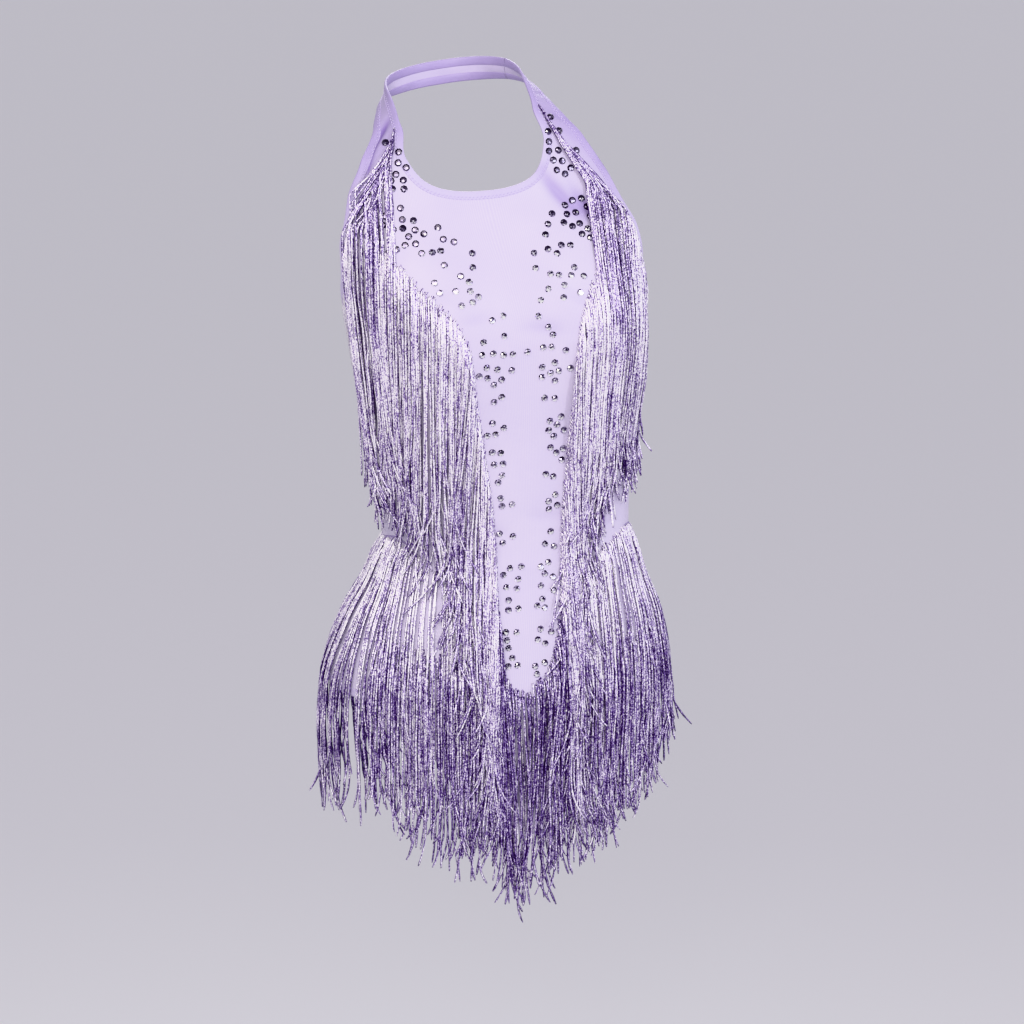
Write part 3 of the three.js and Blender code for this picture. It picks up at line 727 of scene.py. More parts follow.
def make_shell(name, pattern, place, grain, replaced):
    """A wall of cloth from a pattern, with its area in the print."""
    cells, faces = pattern
    n, edges = len(cells), np.array(rim(faces))
    points = np.concatenate([place(cells, CLOTH), place(cells, 0.0)])
    sides = np.stack([edges[:, 0], edges[:, 0] + n, edges[:, 1] + n, edges[:, 1]], -1)
    quads = np.concatenate([faces, faces[:, ::-1] + n, sides])
    outside, inside = grain(cells), grain(cells)
    # The inner face, against the skin, gets less of the slack colour and painted shade.
    inside[:, 2] *= INSIDE_SLACK_AND_SHADE
    piece = make_piece(name, points, quads, tricot, grain=np.concatenate([outside, inside]))
    piece.data.set_sharp_from_angle(angle=math.radians(55))
    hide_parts(replaced)
    a, b, c, d = (points[faces[:, k]] for k in range(4))
    area = (np.linalg.norm(np.cross(b - a, c - a), axis=1)
            + np.linalg.norm(np.cross(c - a, d - a), axis=1)).sum() / 2
    print(f"  area {area / 1e6:.4f} m2")
    return piece


print("a cell is split", PATTERN_LEVELS, "times; the grain is wrapped at", GRAIN_RADIUS, "mm")

# %% [markdown]
# ## The gusset
#
# The strip under the crotch can't be given as an angle and a height, because it runs level. It has
# a path of its own, from the front seam down and back up to the back seam, with a half width at
# each point. Near its two seams it blends into the figure, so that it meets the panels exactly.

# %% Helper: the gusset's own form
gusset_run = np.concatenate([[0], np.cumsum(np.hypot(*np.diff(GUSSET[:, :2], axis=0).T))])
gusset_y, gusset_z, gusset_half = (smooth_curve(gusset_run, GUSSET[:, k]) for k in range(3))
GUSSET_LENGTH = gusset_run[-1]
GUSSET_BLEND = 12
GUSSET_TURN = 10
GUSSET_GRAIN_HALF = 29


def on_gusset(cells, off):
    """Cells are (length from the front seam, -1 to 1 across)."""
    s, u = cells[:, 0], cells[:, 1]
    inside = np.clip(s, 1, GUSSET_LENGTH - 1)
    ty = gusset_y(inside + 1) - gusset_y(inside - 1)
    tz = gusset_z(inside + 1) - gusset_z(inside - 1)
    length, past = np.hypot(ty, tz), s - inside
    p = np.stack([u * gusset_half(s), gusset_y(inside) + (ty * past + tz * off) / length,
                  gusset_z(inside) + (tz * past - ty * off) / length], -1)
    seam = GUSSET[0][1] - 1.25 * SEAM_GAP
    front_end = figure_point(u * GUSSET_TURN, seam) + figure_normal(u * GUSSET_TURN, seam) * off
    back_angle = 180 - u * GUSSET_TURN
    back_end = figure_point(back_angle, seam) + figure_normal(back_angle, seam) * off
    a = (np.clip(1 - s / GUSSET_BLEND, 0, 1) ** 2)[:, None]
    b = (np.clip(1 - (GUSSET_LENGTH - s) / GUSSET_BLEND, 0, 1) ** 2)[:, None]
    return posed(p * (1 - a - b) + front_end * a + back_end * b)


def gusset_grain(cells):
    return np.stack([cells[:, 1] * GUSSET_GRAIN_HALF, cells[:, 0], np.zeros(len(cells))], -1)


gusset_rows = [[(GUSSET_LENGTH * i / 12, u) for u in (-1, -0.5, 0, 0.5, 1)] for i in range(13)]
print("gusset", round(float(GUSSET_LENGTH), 1), "mm long")

# %% Make the four cut pieces
front_cells = smooth_pattern(front_pattern(), [(s * GUSSET_TURN, -650) for s in (1, -1)]
                             + [(s * SIDE_SEAM, ARMHOLE[-1][1]) for s in (1, -1)])
back_cells = smooth_pattern(back_pattern(), [(170, -650), (190, -650)])
nape_cells = smooth_pattern(nape_pattern())
gusset_cells = smooth_pattern(gusset_rows)
front_panel = make_shell("front_panel_cloth", front_cells, on_panel, panel_grain, "front_panel")
back_panel = make_shell("back_panel_cloth", back_cells, on_panel, panel_grain, "back_panel")
nape_band = make_shell("nape_band_cloth", nape_cells, on_panel, panel_grain, "nape_band")
gusset = make_shell("crotch_gusset_cloth", gusset_cells, on_gusset, gusset_grain, "crotch_gusset")

# %% [markdown]
# ## Turned hems
#
# Every free edge is turned under 7 mm and coverstitched, so it is twice as thick and has a soft
# round fold. The hem is a band swept along the edge of the pattern: it steps inwards on the
# cloth's own surface, so it follows every curve and crease, and its stitches use the same steps.

# %% Helper: walk an edge, and step inwards on the cloth
HEM_WIDTH = 7.0
# Distance in from the edge, height above the figure: over the fold and back inside.
HEM_SECTION = [(HEM_WIDTH, 1.48), (6.4, 1.62), (3.5, 1.72), (0.9, 1.74), (-0.3, 1.4), (-0.6, 0.7),
               (-0.35, -0.15), (0.9, -0.5), (3.5, -0.55), (6.4, -0.42), (HEM_WIDTH, 0.0)]


def edge_run(pattern, start, end):
    """Cells along the rim between two cells, the shorter way, with the cloth on the left."""
    cells, faces = pattern
    after = dict(rim(faces))
    on_rim = np.array(sorted(after))

    def nearest(cell):
        return int(on_rim[np.argmin(np.linalg.norm(cells[on_rim] - np.array(cell), axis=1))])

    def walk(here, last):
        run = [here]
        while here != last:
            here = after[here]
            run.append(here)
        return run

    a, b = nearest(start), nearest(end)
    return cells[min(walk(a, b), walk(b, a), key=len)]


def step_on(place, cells, move):
    """The cells that lie a small vector (mm) away on the cloth."""
    # Steps to measure with: degrees and mm on a panel, mm and a share of the width on the gusset.
    e = (0.2, 0.2) if place is on_panel else (0.5, 0.05)
    du = (place(cells + [e[0], 0], 0.0) - place(cells - [e[0], 0], 0.0)) / (2 * e[0])
    dv = (place(cells + [0, e[1]], 0.0) - place(cells - [0, e[1]], 0.0)) / (2 * e[1])
    a, b, c = (du * du).sum(1), (du * dv).sum(1), (dv * dv).sum(1)
    p, q = (du * move).sum(1), (dv * move).sum(1)
    det = a * c - b * b
    return cells + np.stack([(c * p - b * q) / det, (a * q - b * p) / det], -1)


def edge_frame(place, cells):
    """The direction of an edge, and the way in on the cloth."""
    p, q = place(cells, 0.0), place(cells, 1.0)
    along = unit(np.gradient(p, axis=0))
    return along, unit(np.cross(unit(q - p), along))


def sweep(rings, grain_across):
    """Closed tube faces, and grain, for a list of sections of equal count."""
    rings = np.asarray(rings)
    n, m = rings.shape[:2]
    i, j = np.meshgrid(np.arange(n - 1), np.arange(m), indexing="ij")
    k = (j + 1) % m
    faces = np.stack([i * m + j, i * m + k, (i + 1) * m + k, (i + 1) * m + j], -1).reshape(-1, 4)
    run = run_along(rings[:, 0])
    grain = np.stack([np.broadcast_to(run[:, None], (n, m)),
                      np.broadcast_to(grain_across, (n, m)), np.zeros((n, m))], -1)
    return rings.reshape(-1, 3), faces, grain.reshape(-1, 3)


def join(parts):
    """Joins (points, faces, values) parts into one."""
    points, faces, values, count = [], [], [], 0
    for p, f, v in parts:
        points.append(p)
        faces.append(np.asarray(f) + count)
        values.append(v)
        count += len(p)
    return np.concatenate(points), np.concatenate(faces), np.concatenate(values)


print("hem", HEM_WIDTH, "mm wide, a section of", len(HEM_SECTION), "points")


# %% Helpers: a hem and a row of stitches along an edge
def hem_along(place, cells):
    """The hem's section swept along an edge; below 0 mm in, it stands out past the edge."""
    _, inward = edge_frame(place, cells)
    rings = []
    for depth, height in HEM_SECTION:
        moved = step_on(place, cells, inward * max(depth, 0))
        at = place(moved, height)
        rings.append(at + inward * min(depth, 0))
    rings = np.stack(rings, 1)
    points, faces, grain = sweep(rings[:, ::-1], [d for d, _ in HEM_SECTION][::-1])
    # The hem takes the slack colour and painted shade of the cloth at its edge.
    if place is on_panel:
        slack_and_shade = slack_and_shade_at(cells[:, 0], cells[:, 1])
        grain[:, 2] = np.repeat(slack_and_shade, len(grain) // len(slack_and_shade))
    return points, faces, grain


STITCH_LENGTH, STITCH_STEP, STITCH_THICK = 2.3, 3.3, 0.38
# Distance in from the edge, height above the figure, slant: the two rows of a coverstitch.
STITCH_ROWS = [(4.6, 1.78, 0.35), (6.2, 1.72, -0.35)]


def stitches_along(place, cells, depth, height, lean):
    """Rice-grain stitches in a row, depth mm in from the edge."""
    along, inward = edge_frame(place, cells)
    row = place(step_on(place, cells, inward * depth), height)
    out = unit(place(cells, 2.0) - place(cells, 0.0))
    run = run_along(row)
    middle = np.arange(2.0, run[-1] - 2.0, STITCH_STEP)
    centre, way, up = (np.stack([np.interp(middle, run, v[:, k]) for k in range(3)], -1)
                       for v in (row, along, out))
    way = unit(way + np.cross(up, way) * lean)
    side = np.cross(up, way)
    parts = []
    for t, wide in ((-0.5, 0.0), (-0.3, 1.0), (0.3, 1.0), (0.5, 0.0)):
        ring = [centre + way * t * STITCH_LENGTH
                + (side * u + up * v) * STITCH_THICK * max(wide, 0.15)
                for u, v in ((1, 0), (0, 1), (-1, 0), (0, -0.6))]
        parts.append(np.stack(ring, 1))
    points = np.stack(parts, 1).reshape(-1, 3)
    n = len(centre)
    ring_faces = [[r * 4 + k, r * 4 + (k + 1) % 4, r * 4 + 4 + (k + 1) % 4, r * 4 + 4 + k]
                  for r in range(3) for k in range(4)]
    ends = [[3, 2, 1, 0], [12, 13, 14, 15]]
    faces = (np.array(ring_faces + ends)[None] + np.arange(n)[:, None, None] * 16).reshape(-1, 4)
    return points, faces, np.zeros(len(points))


print(len(STITCH_ROWS), "rows of stitches", STITCH_LENGTH, "mm long, one each", STITCH_STEP, "mm")

# %% Make the hems and their stitches
hems = {
    "neck_hem": [(on_panel, edge_run(front_cells, (-112, 23), (112, 23))),
                 (on_panel, edge_run(nape_cells, (247, 23), (113, 23)))],
    "armhole_hem": [(on_panel, edge_run(front_cells, (120, 5), (SIDE_SEAM, ARMHOLE[-1][1]))),
                    (on_panel, edge_run(front_cells, (-SIDE_SEAM, ARMHOLE[-1][1]), (-120, 5))),
                    (on_panel, edge_run(back_cells, (270, ARMHOLE[-1][1]), (90, ARMHOLE[-1][1]))),
                    (on_panel, edge_run(nape_cells, (121, 5), (239, 5)))],
    "leg_hem": [(on_panel, edge_run(front_cells, (SIDE_SEAM, -517), (GUSSET_TURN, -650))),
                (on_panel, edge_run(front_cells, (-GUSSET_TURN, -650), (-SIDE_SEAM, -517))),
                (on_panel, edge_run(back_cells, (90, -517), (170, -650))),
                (on_panel, edge_run(back_cells, (190, -650), (270, -517))),
                (on_gusset, edge_run(gusset_cells, (0, 1), (GUSSET_LENGTH, 1))),
                (on_gusset, edge_run(gusset_cells, (GUSSET_LENGTH, -1), (0, -1)))],
}
stitch_parts = []
for hem_name, runs in hems.items():
    points, faces, grain = join([hem_along(place, cells) for place, cells in runs])
    hem = make_piece(hem_name, points, faces, hem_tricot, grain=grain)
    stitch_parts += [stitches_along(place, cells, *row) for place, cells in runs
                     for row in STITCH_ROWS]
points, faces, _ = join(stitch_parts)
stitches = make_piece("hem_stitches", points, faces, thread)

# %% [markdown]
# ## Fringe headings
#
# The fringe is bought by the metre: a braid about 2 mm wide with the strands knotted through it. It
# is sewn to the cloth along the lines below: down each strap and princess line to a point at the
# front, round each armhole, along each hip, and across the back of the waist. The princess fringe
# is caught in the seam, and the front of the hips has its strands sewn on raggedly. So a braid, a
# rounded band swept along its line, is made only for the armholes, the outer hips and the back.

# %% Fringe lines, wearer's left half
# (distance from the centre line, height) or (angle, height).
PRINCESS = [
    (60, -6), (64, -17), (69, -31), (75, -45), (82.5, -59), (90, -74), (95.5, -88), (97, -101),
    (94, -113), (87, -125), (77, -140), (67, -154), (58, -167), (51, -182), (47, -200),
    (45, -220), (41.5, -256), (36.5, -294), (32.5, -330), (30, -367), (29, -403),
    (27.5, -438), (25, -468), (22, -484), (15, -496), (6, -502), (0.6, -503),
]
ARM_LINE = [(46, -92), (49, -106), (53.5, -120), (60, -134), (68.5, -147), (79, -161), (89, -174)]
HIP_LINE_RIGHT = [(17, -444), (25, -430), (35, -414), (46, -400), (55, -391), (64, -385), (73, -383),
                  (81, -385), (90, -389)]
HIP_LINE_LEFT = [(17, -420), (25, -404), (35, -390), (46, -382), (55, -378), (64, -378), (73, -380),
                 (81, -384), (90, -389)]
LOW_HIP_LINE = [(12, -484), (18, -480), (26, -475), (34, -471), (43, -468), (52, -464), (60, -460)]
BACK_LINE = [(90, -389), (110, -393), (130, -399), (150, -405), (165, -408), (180, -409)]


def by_angle(points):
    return [(float(angle_at(x, z)), z) for x, z in points]


class ClothLine:
    """A line on the cloth as a function of its length in mm."""

    def __init__(self, cells):
        cells = np.array(cells, float)
        run = run_along(figure_point(cells[:, 0], cells[:, 1]))
        self.angle, self.height = smooth_curve(run, cells[:, 0]), smooth_curve(run, cells[:, 1])
        self.length = run[-1]

    def frame(self, s):
        """Point, outward normal, direction along, and downhill direction, in the pose."""
        p, q = (on_cloth(self.angle(s), self.height(s), off) for off in (0.0, 1.0))
        ahead, behind = np.minimum(self.length, s + 1), np.maximum(0, s - 1)
        n = unit(q - p)
        along = (on_cloth(self.angle(ahead), self.height(ahead), 0.0)
                 - on_cloth(self.angle(behind), self.height(behind), 0.0))
        along = unit(along - (along * n).sum(-1, keepdims=True) * n)
        across = np.cross(n, along)
        return p, n, along, across * np.where(across[..., 2:] < 0, 1, -1)

    def passes(self, height):
        """How far along the line it last passes a height."""
        s = np.arange(0, self.length, 0.5)
        above = s[self.height(s) >= height]
        return float(above[-1]) if len(above) else 0.0


def opposite(cells):
    return [(-a, z) for a, z in cells]


princess = by_angle(PRINCESS)
lines = {
    "princess_left": ClothLine(princess), "princess_right": ClothLine(opposite(princess)),
    "armhole_left": ClothLine(ARM_LINE), "armhole_right": ClothLine(opposite(ARM_LINE)),
    "hip_left": ClothLine(HIP_LINE_LEFT), "hip_right": ClothLine(opposite(HIP_LINE_RIGHT)),
    "low_left": ClothLine(LOW_HIP_LINE), "low_right": ClothLine(opposite(LOW_HIP_LINE)),
    "back": ClothLine(round_back(BACK_LINE)),
}
print("; ".join(f"{name} {line.length:.0f} mm" for name, line in lines.items()))

# %% Heading braids
BRAID_STEP = 2.4
# Knots lift the top of the braid: their height in mm, and the wave's radians to the mm.
BRAID_WAVE, BRAID_WAVE_TURN = 0.18, 2.1
# Distance across the braid, height above the figure.
BRAID_SECTION = [(-0.8, 1.45), (-0.9, 1.7), (-0.5, 2.1), (0.0, 2.2), (0.5, 2.1), (0.9, 1.7),
                 (0.8, 1.45)]
HIP_BRAID_FROM = 60
heading_parts = []
for name in ("armhole_left", "armhole_right", "hip_left", "hip_right", "back"):
    line = lines[name]
    s = np.linspace(0, line.length, int(line.length / BRAID_STEP))
    if name.startswith("hip"):
        s = s[np.abs(line.angle(s)) > HIP_BRAID_FROM]
    p, n, along, down = line.frame(s)
    wave = BRAID_WAVE * np.sin(s * BRAID_WAVE_TURN)
    rings = np.stack([p + down * u + n * (h + wave * (h > 2))[:, None] for u, h in BRAID_SECTION], 1)
    if (np.cross(along, down) * n).sum(1).mean() > 0:
        rings = rings[:, ::-1]
    heading_parts.append(sweep(rings, [u for u, _ in BRAID_SECTION]))
points, faces, grain = join(heading_parts)
headings = make_piece("fringe_headings", points, faces, braid, grain=grain)

# %% [markdown]
# ## How a strand hangs
#
# Over a thousand strands would be slow to simulate, and they don't need it: each hangs straight
# down from its knot and lies on whatever sticks out below. So all strands of a run fall together,
# a few millimetres a step. Where the figure is in the way, a strand is pushed out along its
# normal; where it isn't, the strand may lean in a little. Neighbours drift together in locks,
# and every strand has a drift, a wave and a curl of its own, all drawn from fixed seeds.

# %% Helper: strands that fall
STRAND_LENGTH = 250
FALL_STEPS = 48
LEAN_IN = {"above": 0.16, "below": 0.03, "from": -440}
# Above the waist a strand is pushed forward rather than sideways, so that it stays in its curtain.
WAIST = -380
PUSHES = 4
SLOPE_STEP = 4
LOWEST_SECTION, HIGHEST_SECTION = -640, 45


def gap_to_figure(x, y, z):
    """Level distance from the figure in mm, and the way out."""
    h = np.clip(z, LOWEST_SECTION, HIGHEST_SECTION)
    n, a, deep = power(h), half(h), np.where(y < 0, front(h), back(h))

    def size(u, v):
        w = np.maximum(0, np.abs(v) - np.where(v < 0, cup_depth(u, h, a, n), 0))
        return ((np.abs(u) / a) ** n + (w / deep) ** n) ** (1 / n)

    gx, gy = size(x + 0.5, y) - size(x - 0.5, y), size(x, y + 0.5) - size(x, y - 0.5)
    g = np.maximum(np.hypot(gx, gy), 1e-6)
    return (size(x, y) - 1) / g, gx / g, gy / g


def fall(start, off, rise, length, drift):
    """Paths of strands that start at points in the pose; drift is sideways slope by step."""
    x, y, z0 = (start + nape).T.copy()
    path, step = [np.stack([x, y, z0], -1)], length / FALL_STEPS
    first = off[:, 0]
    for k in range(1, FALL_STEPS + 1):
        drop = step * k
        z = z0 - drop
        wanted = mix(first, off[:, k], np.minimum(1, drop / rise))
        lean = np.where(z > LEAN_IN["from"], LEAN_IN["above"], LEAN_IN["below"]) * step
        level = z - (x - shift(z)) * np.sin(np.radians(tilt(z)))
        for push in range(PUSHES):
            gap, nx, ny = gap_to_figure(x - shift(z), y, level)
            above, _, _ = gap_to_figure(x - shift(z), y, level + SLOPE_STEP)
            need = wanted * np.sqrt(1 + ((above - gap) / SLOPE_STEP) ** 2) - gap
            move = np.where(need > 0, need, np.maximum(need, -lean) if push == 0 else 0)
            way_x = nx * np.where(z > WAIST, 0.3 + 0.7 * nx ** 8, 1)
            size = np.maximum(np.abs(way_x * nx + ny * ny), 0.3)
            x, y = x + way_x / size * move, y + ny / size * move
        x, y = x - ny * drift[:, k] * step, y + nx * drift[:, k] * step
        path.append(np.stack([x, y, z], -1))
    return np.stack(path, 1) - nape


print("strand length", STRAND_LENGTH, "mm, fallen in", FALL_STEPS, "steps")

# %% [markdown]
# ## What makes each strand its own
#
# Strands that were all alike would look like a comb. Some yarns are knotted in together and keep
# together as a lock; a yarn remembers the cone it was wound on and waves; a few stray; and the cut
# end, which has no weight below it, curls. All are sideways slopes: mm aside for each mm fallen.

# %% Helpers: drifts and heights of strands
LOCK_SLOPES, LOCK_WIDTHS = (0.013, 0.01), (8, 30)
OWN_SLOPE, WAVE_SLOPE = 0.014, 0.03
STRAY_SHARE, STRAY_SLOPE, STRAY_FROM = 0.42, 0.13, 0.4
CURL_SLOPE = 0.4
# Height above the figure at the knot, and the least height anywhere.
KNOT_HEIGHT, LEAST_HEIGHT = 3.4, 2.9
WOBBLE_MM, TIP_LIFT_MM, TIP_FROM = 0.9, 3.0, 0.82


def slow_noise(seed, s, scale):
    """Smooth random values along s, about -1 to 1."""
    draw = np.random.default_rng(seed)
    knots = draw.normal(size=int(s.max() / scale) + 4)
    at = s / scale
    i = at.astype(int)
    t = at - i
    t = t * t * (3 - 2 * t)
    return knots[i] * (1 - t) + knots[i + 1] * t


def drifts(seed, s, strength, spread=(0, 0)):
    """Sideways slopes by step for strands rooted at s: locks, a wave, strays and a spread."""
    draw = np.random.default_rng(seed)
    n, t = len(s), np.linspace(0, 1, FALL_STEPS + 1)[None, :]
    lock = LOCK_SLOPES[0] * slow_noise(seed + 1, s, LOCK_WIDTHS[0])[:, None] * t
    lock = lock + LOCK_SLOPES[1] * slow_noise(seed + 2, s, LOCK_WIDTHS[1])[:, None] * (0.4 + t)
    own = OWN_SLOPE * draw.normal(size=(n, 1)) * (0.3 + t)
    wave = WAVE_SLOPE * np.sin(t * draw.uniform(8, 24, (n, 1)) + draw.uniform(0, 6.3, (n, 1)))
    low_part = np.maximum(0, t - STRAY_FROM) / (1 - STRAY_FROM)
    stray = draw.random((n, 1)) < STRAY_SHARE
    stray = stray * draw.normal(size=(n, 1)) * STRAY_SLOPE * low_part
    bend = draw.uniform(0.7, 0.93, (n, 1))
    curl = draw.normal(size=(n, 1)) * CURL_SLOPE * np.maximum(0, (t - bend) / (1 - bend)) ** 1.2
    # Over the whole fall the sine adds up to 0.445 of the length, so the spread is in mm.
    opening = mix(spread[0], spread[1], draw.random((n, 1))) / (0.445 * STRAND_LENGTH)
    opening = opening * np.sin(np.pi * np.minimum(1, t / 0.7))
    return strength * (lock + own + wave * (0.3 + 0.7 * t)) + stray + curl + opening


def heights_off(seed, count, low, high):
    """How far out each strand lies, with a slow wobble and a lifted tip."""
    draw = np.random.default_rng(seed)
    t = np.linspace(0, 1, FALL_STEPS + 1)[None, :]
    layer = low + (high - low) * draw.random((count, 1)) ** 1.2
    wobble = np.sin(t * draw.uniform(5, 14, (count, 1)) + draw.uniform(0, 6.3, (count, 1)))
    tip = np.maximum(0, (t - TIP_FROM) / (1 - TIP_FROM)) ** 2
    off = layer + WOBBLE_MM * wobble * t + draw.exponential(TIP_LIFT_MM, (count, 1)) * tip
    off[:, 0] = KNOT_HEIGHT
    return np.maximum(off, LEAST_HEIGHT)


print(f"{STRAY_SHARE:.0%} of the strands stray, and the locks are", LOCK_WIDTHS, "mm wide")

# %% [markdown]
# ## From path to chainette
#
# Each path becomes a cord about 2 mm thick. A chainette is a flat chain that turns in the hand, and
# what makes it glitter is that it shows its bright face and its shaded sides by turns. So the cord
# has four corners with painted light: a painted highlight on the one in front and painted shade on
# the ones round it, and it rocks as it goes down.
# Real yarn is nearer 1.5 mm; it is drawn stouter, so that fewer strands cover the cloth.

# %% Helper: cords along the paths
STRAND_RADIUS = 1.0
RINGS = 54
TURN_MM = (40, 90)
ROCK = 0.7
# Painted highlight on the front corner, painted shade on the two sides and the back.
CORNER_LIGHT_AND_SHADE = (0.24, -0.18, -0.26, -0.18)
# How much the lightness changes from strand to strand and link to link, and the painted glint with
# the turn.
TONE_SPREAD, TURN_GLINT = 0.09, 0.09


def even(path, count):
    """The same path with evenly spaced points."""
    run = run_along(path)
    at = np.linspace(0, run[-1], count)
    return np.stack([np.interp(at, run, path[:, k]) for k in range(3)], -1)


def tubes(seed, paths, tone):
    """Points, faces and tone of the cords; paths is (strands, RINGS, 3)."""
    draw = np.random.default_rng(seed)
    n, m = paths.shape[:2]
    tangent = unit(np.gradient(paths, axis=1))
    x, y, z = np.moveaxis(paths + nape, -1, 0)
    _, nx, ny = gap_to_figure(x - shift(z), y, z)
    out = np.stack([nx, ny, np.zeros_like(nx)], -1)
    out = unit(out - (out * tangent).sum(-1, keepdims=True) * tangent)
    side = np.cross(tangent, out)
    run = np.linalg.norm(np.diff(paths, axis=1), axis=2).cumsum(1)
    run = np.concatenate([np.zeros((n, 1)), run], axis=1)
    phase = 2 * np.pi * run / draw.uniform(*TURN_MM, (n, 1)) + draw.uniform(0, 6.3, (n, 1))
    turned = (ROCK * np.sin(phase))[..., None]
    face = out * np.cos(turned) + side * np.sin(turned)
    edge = side * np.cos(turned) - out * np.sin(turned)
    size = draw.uniform(0.84, 1.14, (n, m)) * draw.uniform(0.86, 1.12, (n, 1))
    size[:, -1] *= 0.6
    size = size[..., None] * STRAND_RADIUS
    rings = np.stack([paths + face * size, paths + edge * size,
                      paths - face * size * 0.8, paths - edge * size], 2)
    j, k = np.meshgrid(np.arange(m - 1), np.arange(4), indexing="ij")
    k2 = (k + 1) % 4
    one = np.stack([j * 4 + k, j * 4 + k2, (j + 1) * 4 + k2, (j + 1) * 4 + k], -1).reshape(-1, 4)
    last = 4 * (m - 1)
    one = np.concatenate([one, [[3, 2, 1, 0], [last, last + 1, last + 2, last + 3]]])
    faces = (one[None] + (np.arange(n) * 4 * m)[:, None, None]).reshape(-1, 4)
    t = np.linspace(0, 1, m)[None, :]
    shade = tone(t) + draw.normal(size=(n, 1)) * TONE_SPREAD
    # A painted glint comes and goes as the cord turns, and each corner adds its painted highlight or
    # painted shade.
    shade = shade + draw.normal(size=(n, m)) * TONE_SPREAD + TURN_GLINT * np.sin(phase + 2)
    shade = shade[..., None] + np.array(CORNER_LIGHT_AND_SHADE)
    return rings.reshape(-1, 3), faces, shade.reshape(-1)


print("cords", 2 * STRAND_RADIUS, "mm thick,", RINGS, "rings each")

# %% [markdown]
# ## Runs of strands
#
# A run starts as knots along a line, evenly spaced but not quite, and each strand leaves its knot
# outward before it falls. Beside a princess line some strands start a little lower down, which
# hides the row of knots as loose yarns do. On a strap the strands can't fall freely: they are
# brushed down along it, fan out over the bust towards the armhole, and hang from there.

# %% Helpers: runs of strands
# Spread of the strands' lengths, and how many are cut short, by how much at most.
LENGTH_SPREAD, SHORT_SHARE, SHORT_BY = 0.035, 0.4, 0.2
KNOT_DROP = 2.8


def strand_roots(line, start, end, spacing, keep=None, seed=0):
    """Places of the knots along a line; keep is the share that stays, by angle and height."""
    draw = np.random.default_rng(seed)
    s = np.arange(start, end, spacing)
    s = np.clip(s + draw.uniform(-0.4, 0.4, len(s)) * spacing, 0, line.length)
    if keep is not None:
        s = s[draw.random(len(s)) < keep(line.angle(s), line.height(s))]
    return s


def hanging_run(line, s, seed, low, high, length=None, strength=1.0, spread=(0, 0), ragged=0):
    """Strands that come out of the heading at s and hang; ragged starts some lower down."""
    draw = np.random.default_rng(seed)
    p, n, along, down = line.frame(s)
    count = len(s)
    jitter = along * draw.uniform(-0.6, 0.6, (count, 1))
    downhill = unit(n * n[:, 2:] - np.array([0, 0, 1]))
    p = p + downhill * ragged * draw.random((count, 1)) ** 1.5
    knot = [p - down * 0.5 + n * 1.2, p + n * 2.8, p + down * 0.5 + n * KNOT_HEIGHT]
    start = p + down * draw.uniform(0.6, 1.6, (count, 1)) + n * KNOT_HEIGHT + jitter
    start[:, 2] -= KNOT_DROP
    long = STRAND_LENGTH if length is None else length(line.angle(s), line.height(s))
    shorter = SHORT_BY * (draw.random(count) < SHORT_SHARE) * draw.random(count)
    long = long * (1 + draw.normal(size=count) * LENGTH_SPREAD - shorter)
    off = heights_off(seed + 5, count, low, high)
    free = fall(start, off, draw.uniform(8, 22, count), long,
                drifts(seed + 9, s, strength, spread))
    whole = np.concatenate([np.stack(knot, 1), free], axis=1)
    return np.stack([even(path, RINGS) for path in whole])


strap_rows = princess[7::-1]
strap_angle = smooth_curve([z for _, z in strap_rows], [a for a, _ in strap_rows])
edge_rows = sorted([(z, a) for a, z in ARMHOLE] + [(row[3], row[2]) for row in STRAP[:4]])
arm_edge_angle = smooth_curve([z for z, _ in edge_rows], [a for _, a in edge_rows])
# The lowest height at which a fanned strand leaves the cloth, and the fall over which it opens.
FAN_LOWEST, FAN_OPENS_OVER, FAN_LEAST, FAN_STEEPEST = -101, 26, 0.04, 0.9
MM_PER_DEGREE = 2.5
# A strand laid on the cloth takes up some of its length.
LAID_SHARE = 0.3


def fanned_run(line, s, seed, sign, opens_at, low, high):
    """Strands brushed down the strap, fanned out towards the armhole, and hanging from there."""
    draw = np.random.default_rng(seed)
    count = len(s)
    root_z = line.height(s)
    leave_z = np.minimum(root_z - 6, draw.uniform(FAN_LOWEST, opens_at + 4, count))
    out = np.clip((opens_at - leave_z) / FAN_OPENS_OVER, FAN_LEAST, 1)
    out = draw.random(count) ** 0.8 * out
    room = MM_PER_DEGREE * (arm_edge_angle(leave_z) - strap_angle(leave_z))
    out = np.minimum(out, FAN_STEEPEST * (root_z - leave_z) / np.maximum(room, 1))
    t = np.linspace(0, 1, 14)[None, :]
    z = mix(root_z[:, None], leave_z[:, None], t)
    inner = strap_angle(z) + draw.uniform(-1.2, 1.2, (count, 1)) * t
    angle = mix(inner, np.maximum(arm_edge_angle(z) - 0.8, inner), out[:, None] * t ** 1.15)
    lift = mix(2.4, draw.uniform(3.4, 8.5, (count, 1)), t ** 0.5)
    laid = on_cloth(sign * angle, z, lift)
    laid_length = np.linalg.norm(np.diff(laid, axis=1), axis=2).sum(1)
    long = STRAND_LENGTH - LAID_SHARE * laid_length
    long = long * (1 + draw.normal(size=count) * LENGTH_SPREAD)
    off = heights_off(seed + 5, count, low, high)
    off[:, 0] = lift[:, -1]
    free = fall(laid[:, -1], off, draw.uniform(10, 25, count), long, drifts(seed + 9, s, 0.8))
    whole = np.concatenate([laid, free[:, 1:]], axis=1)
    return np.stack([even(path, RINGS) for path in whole])


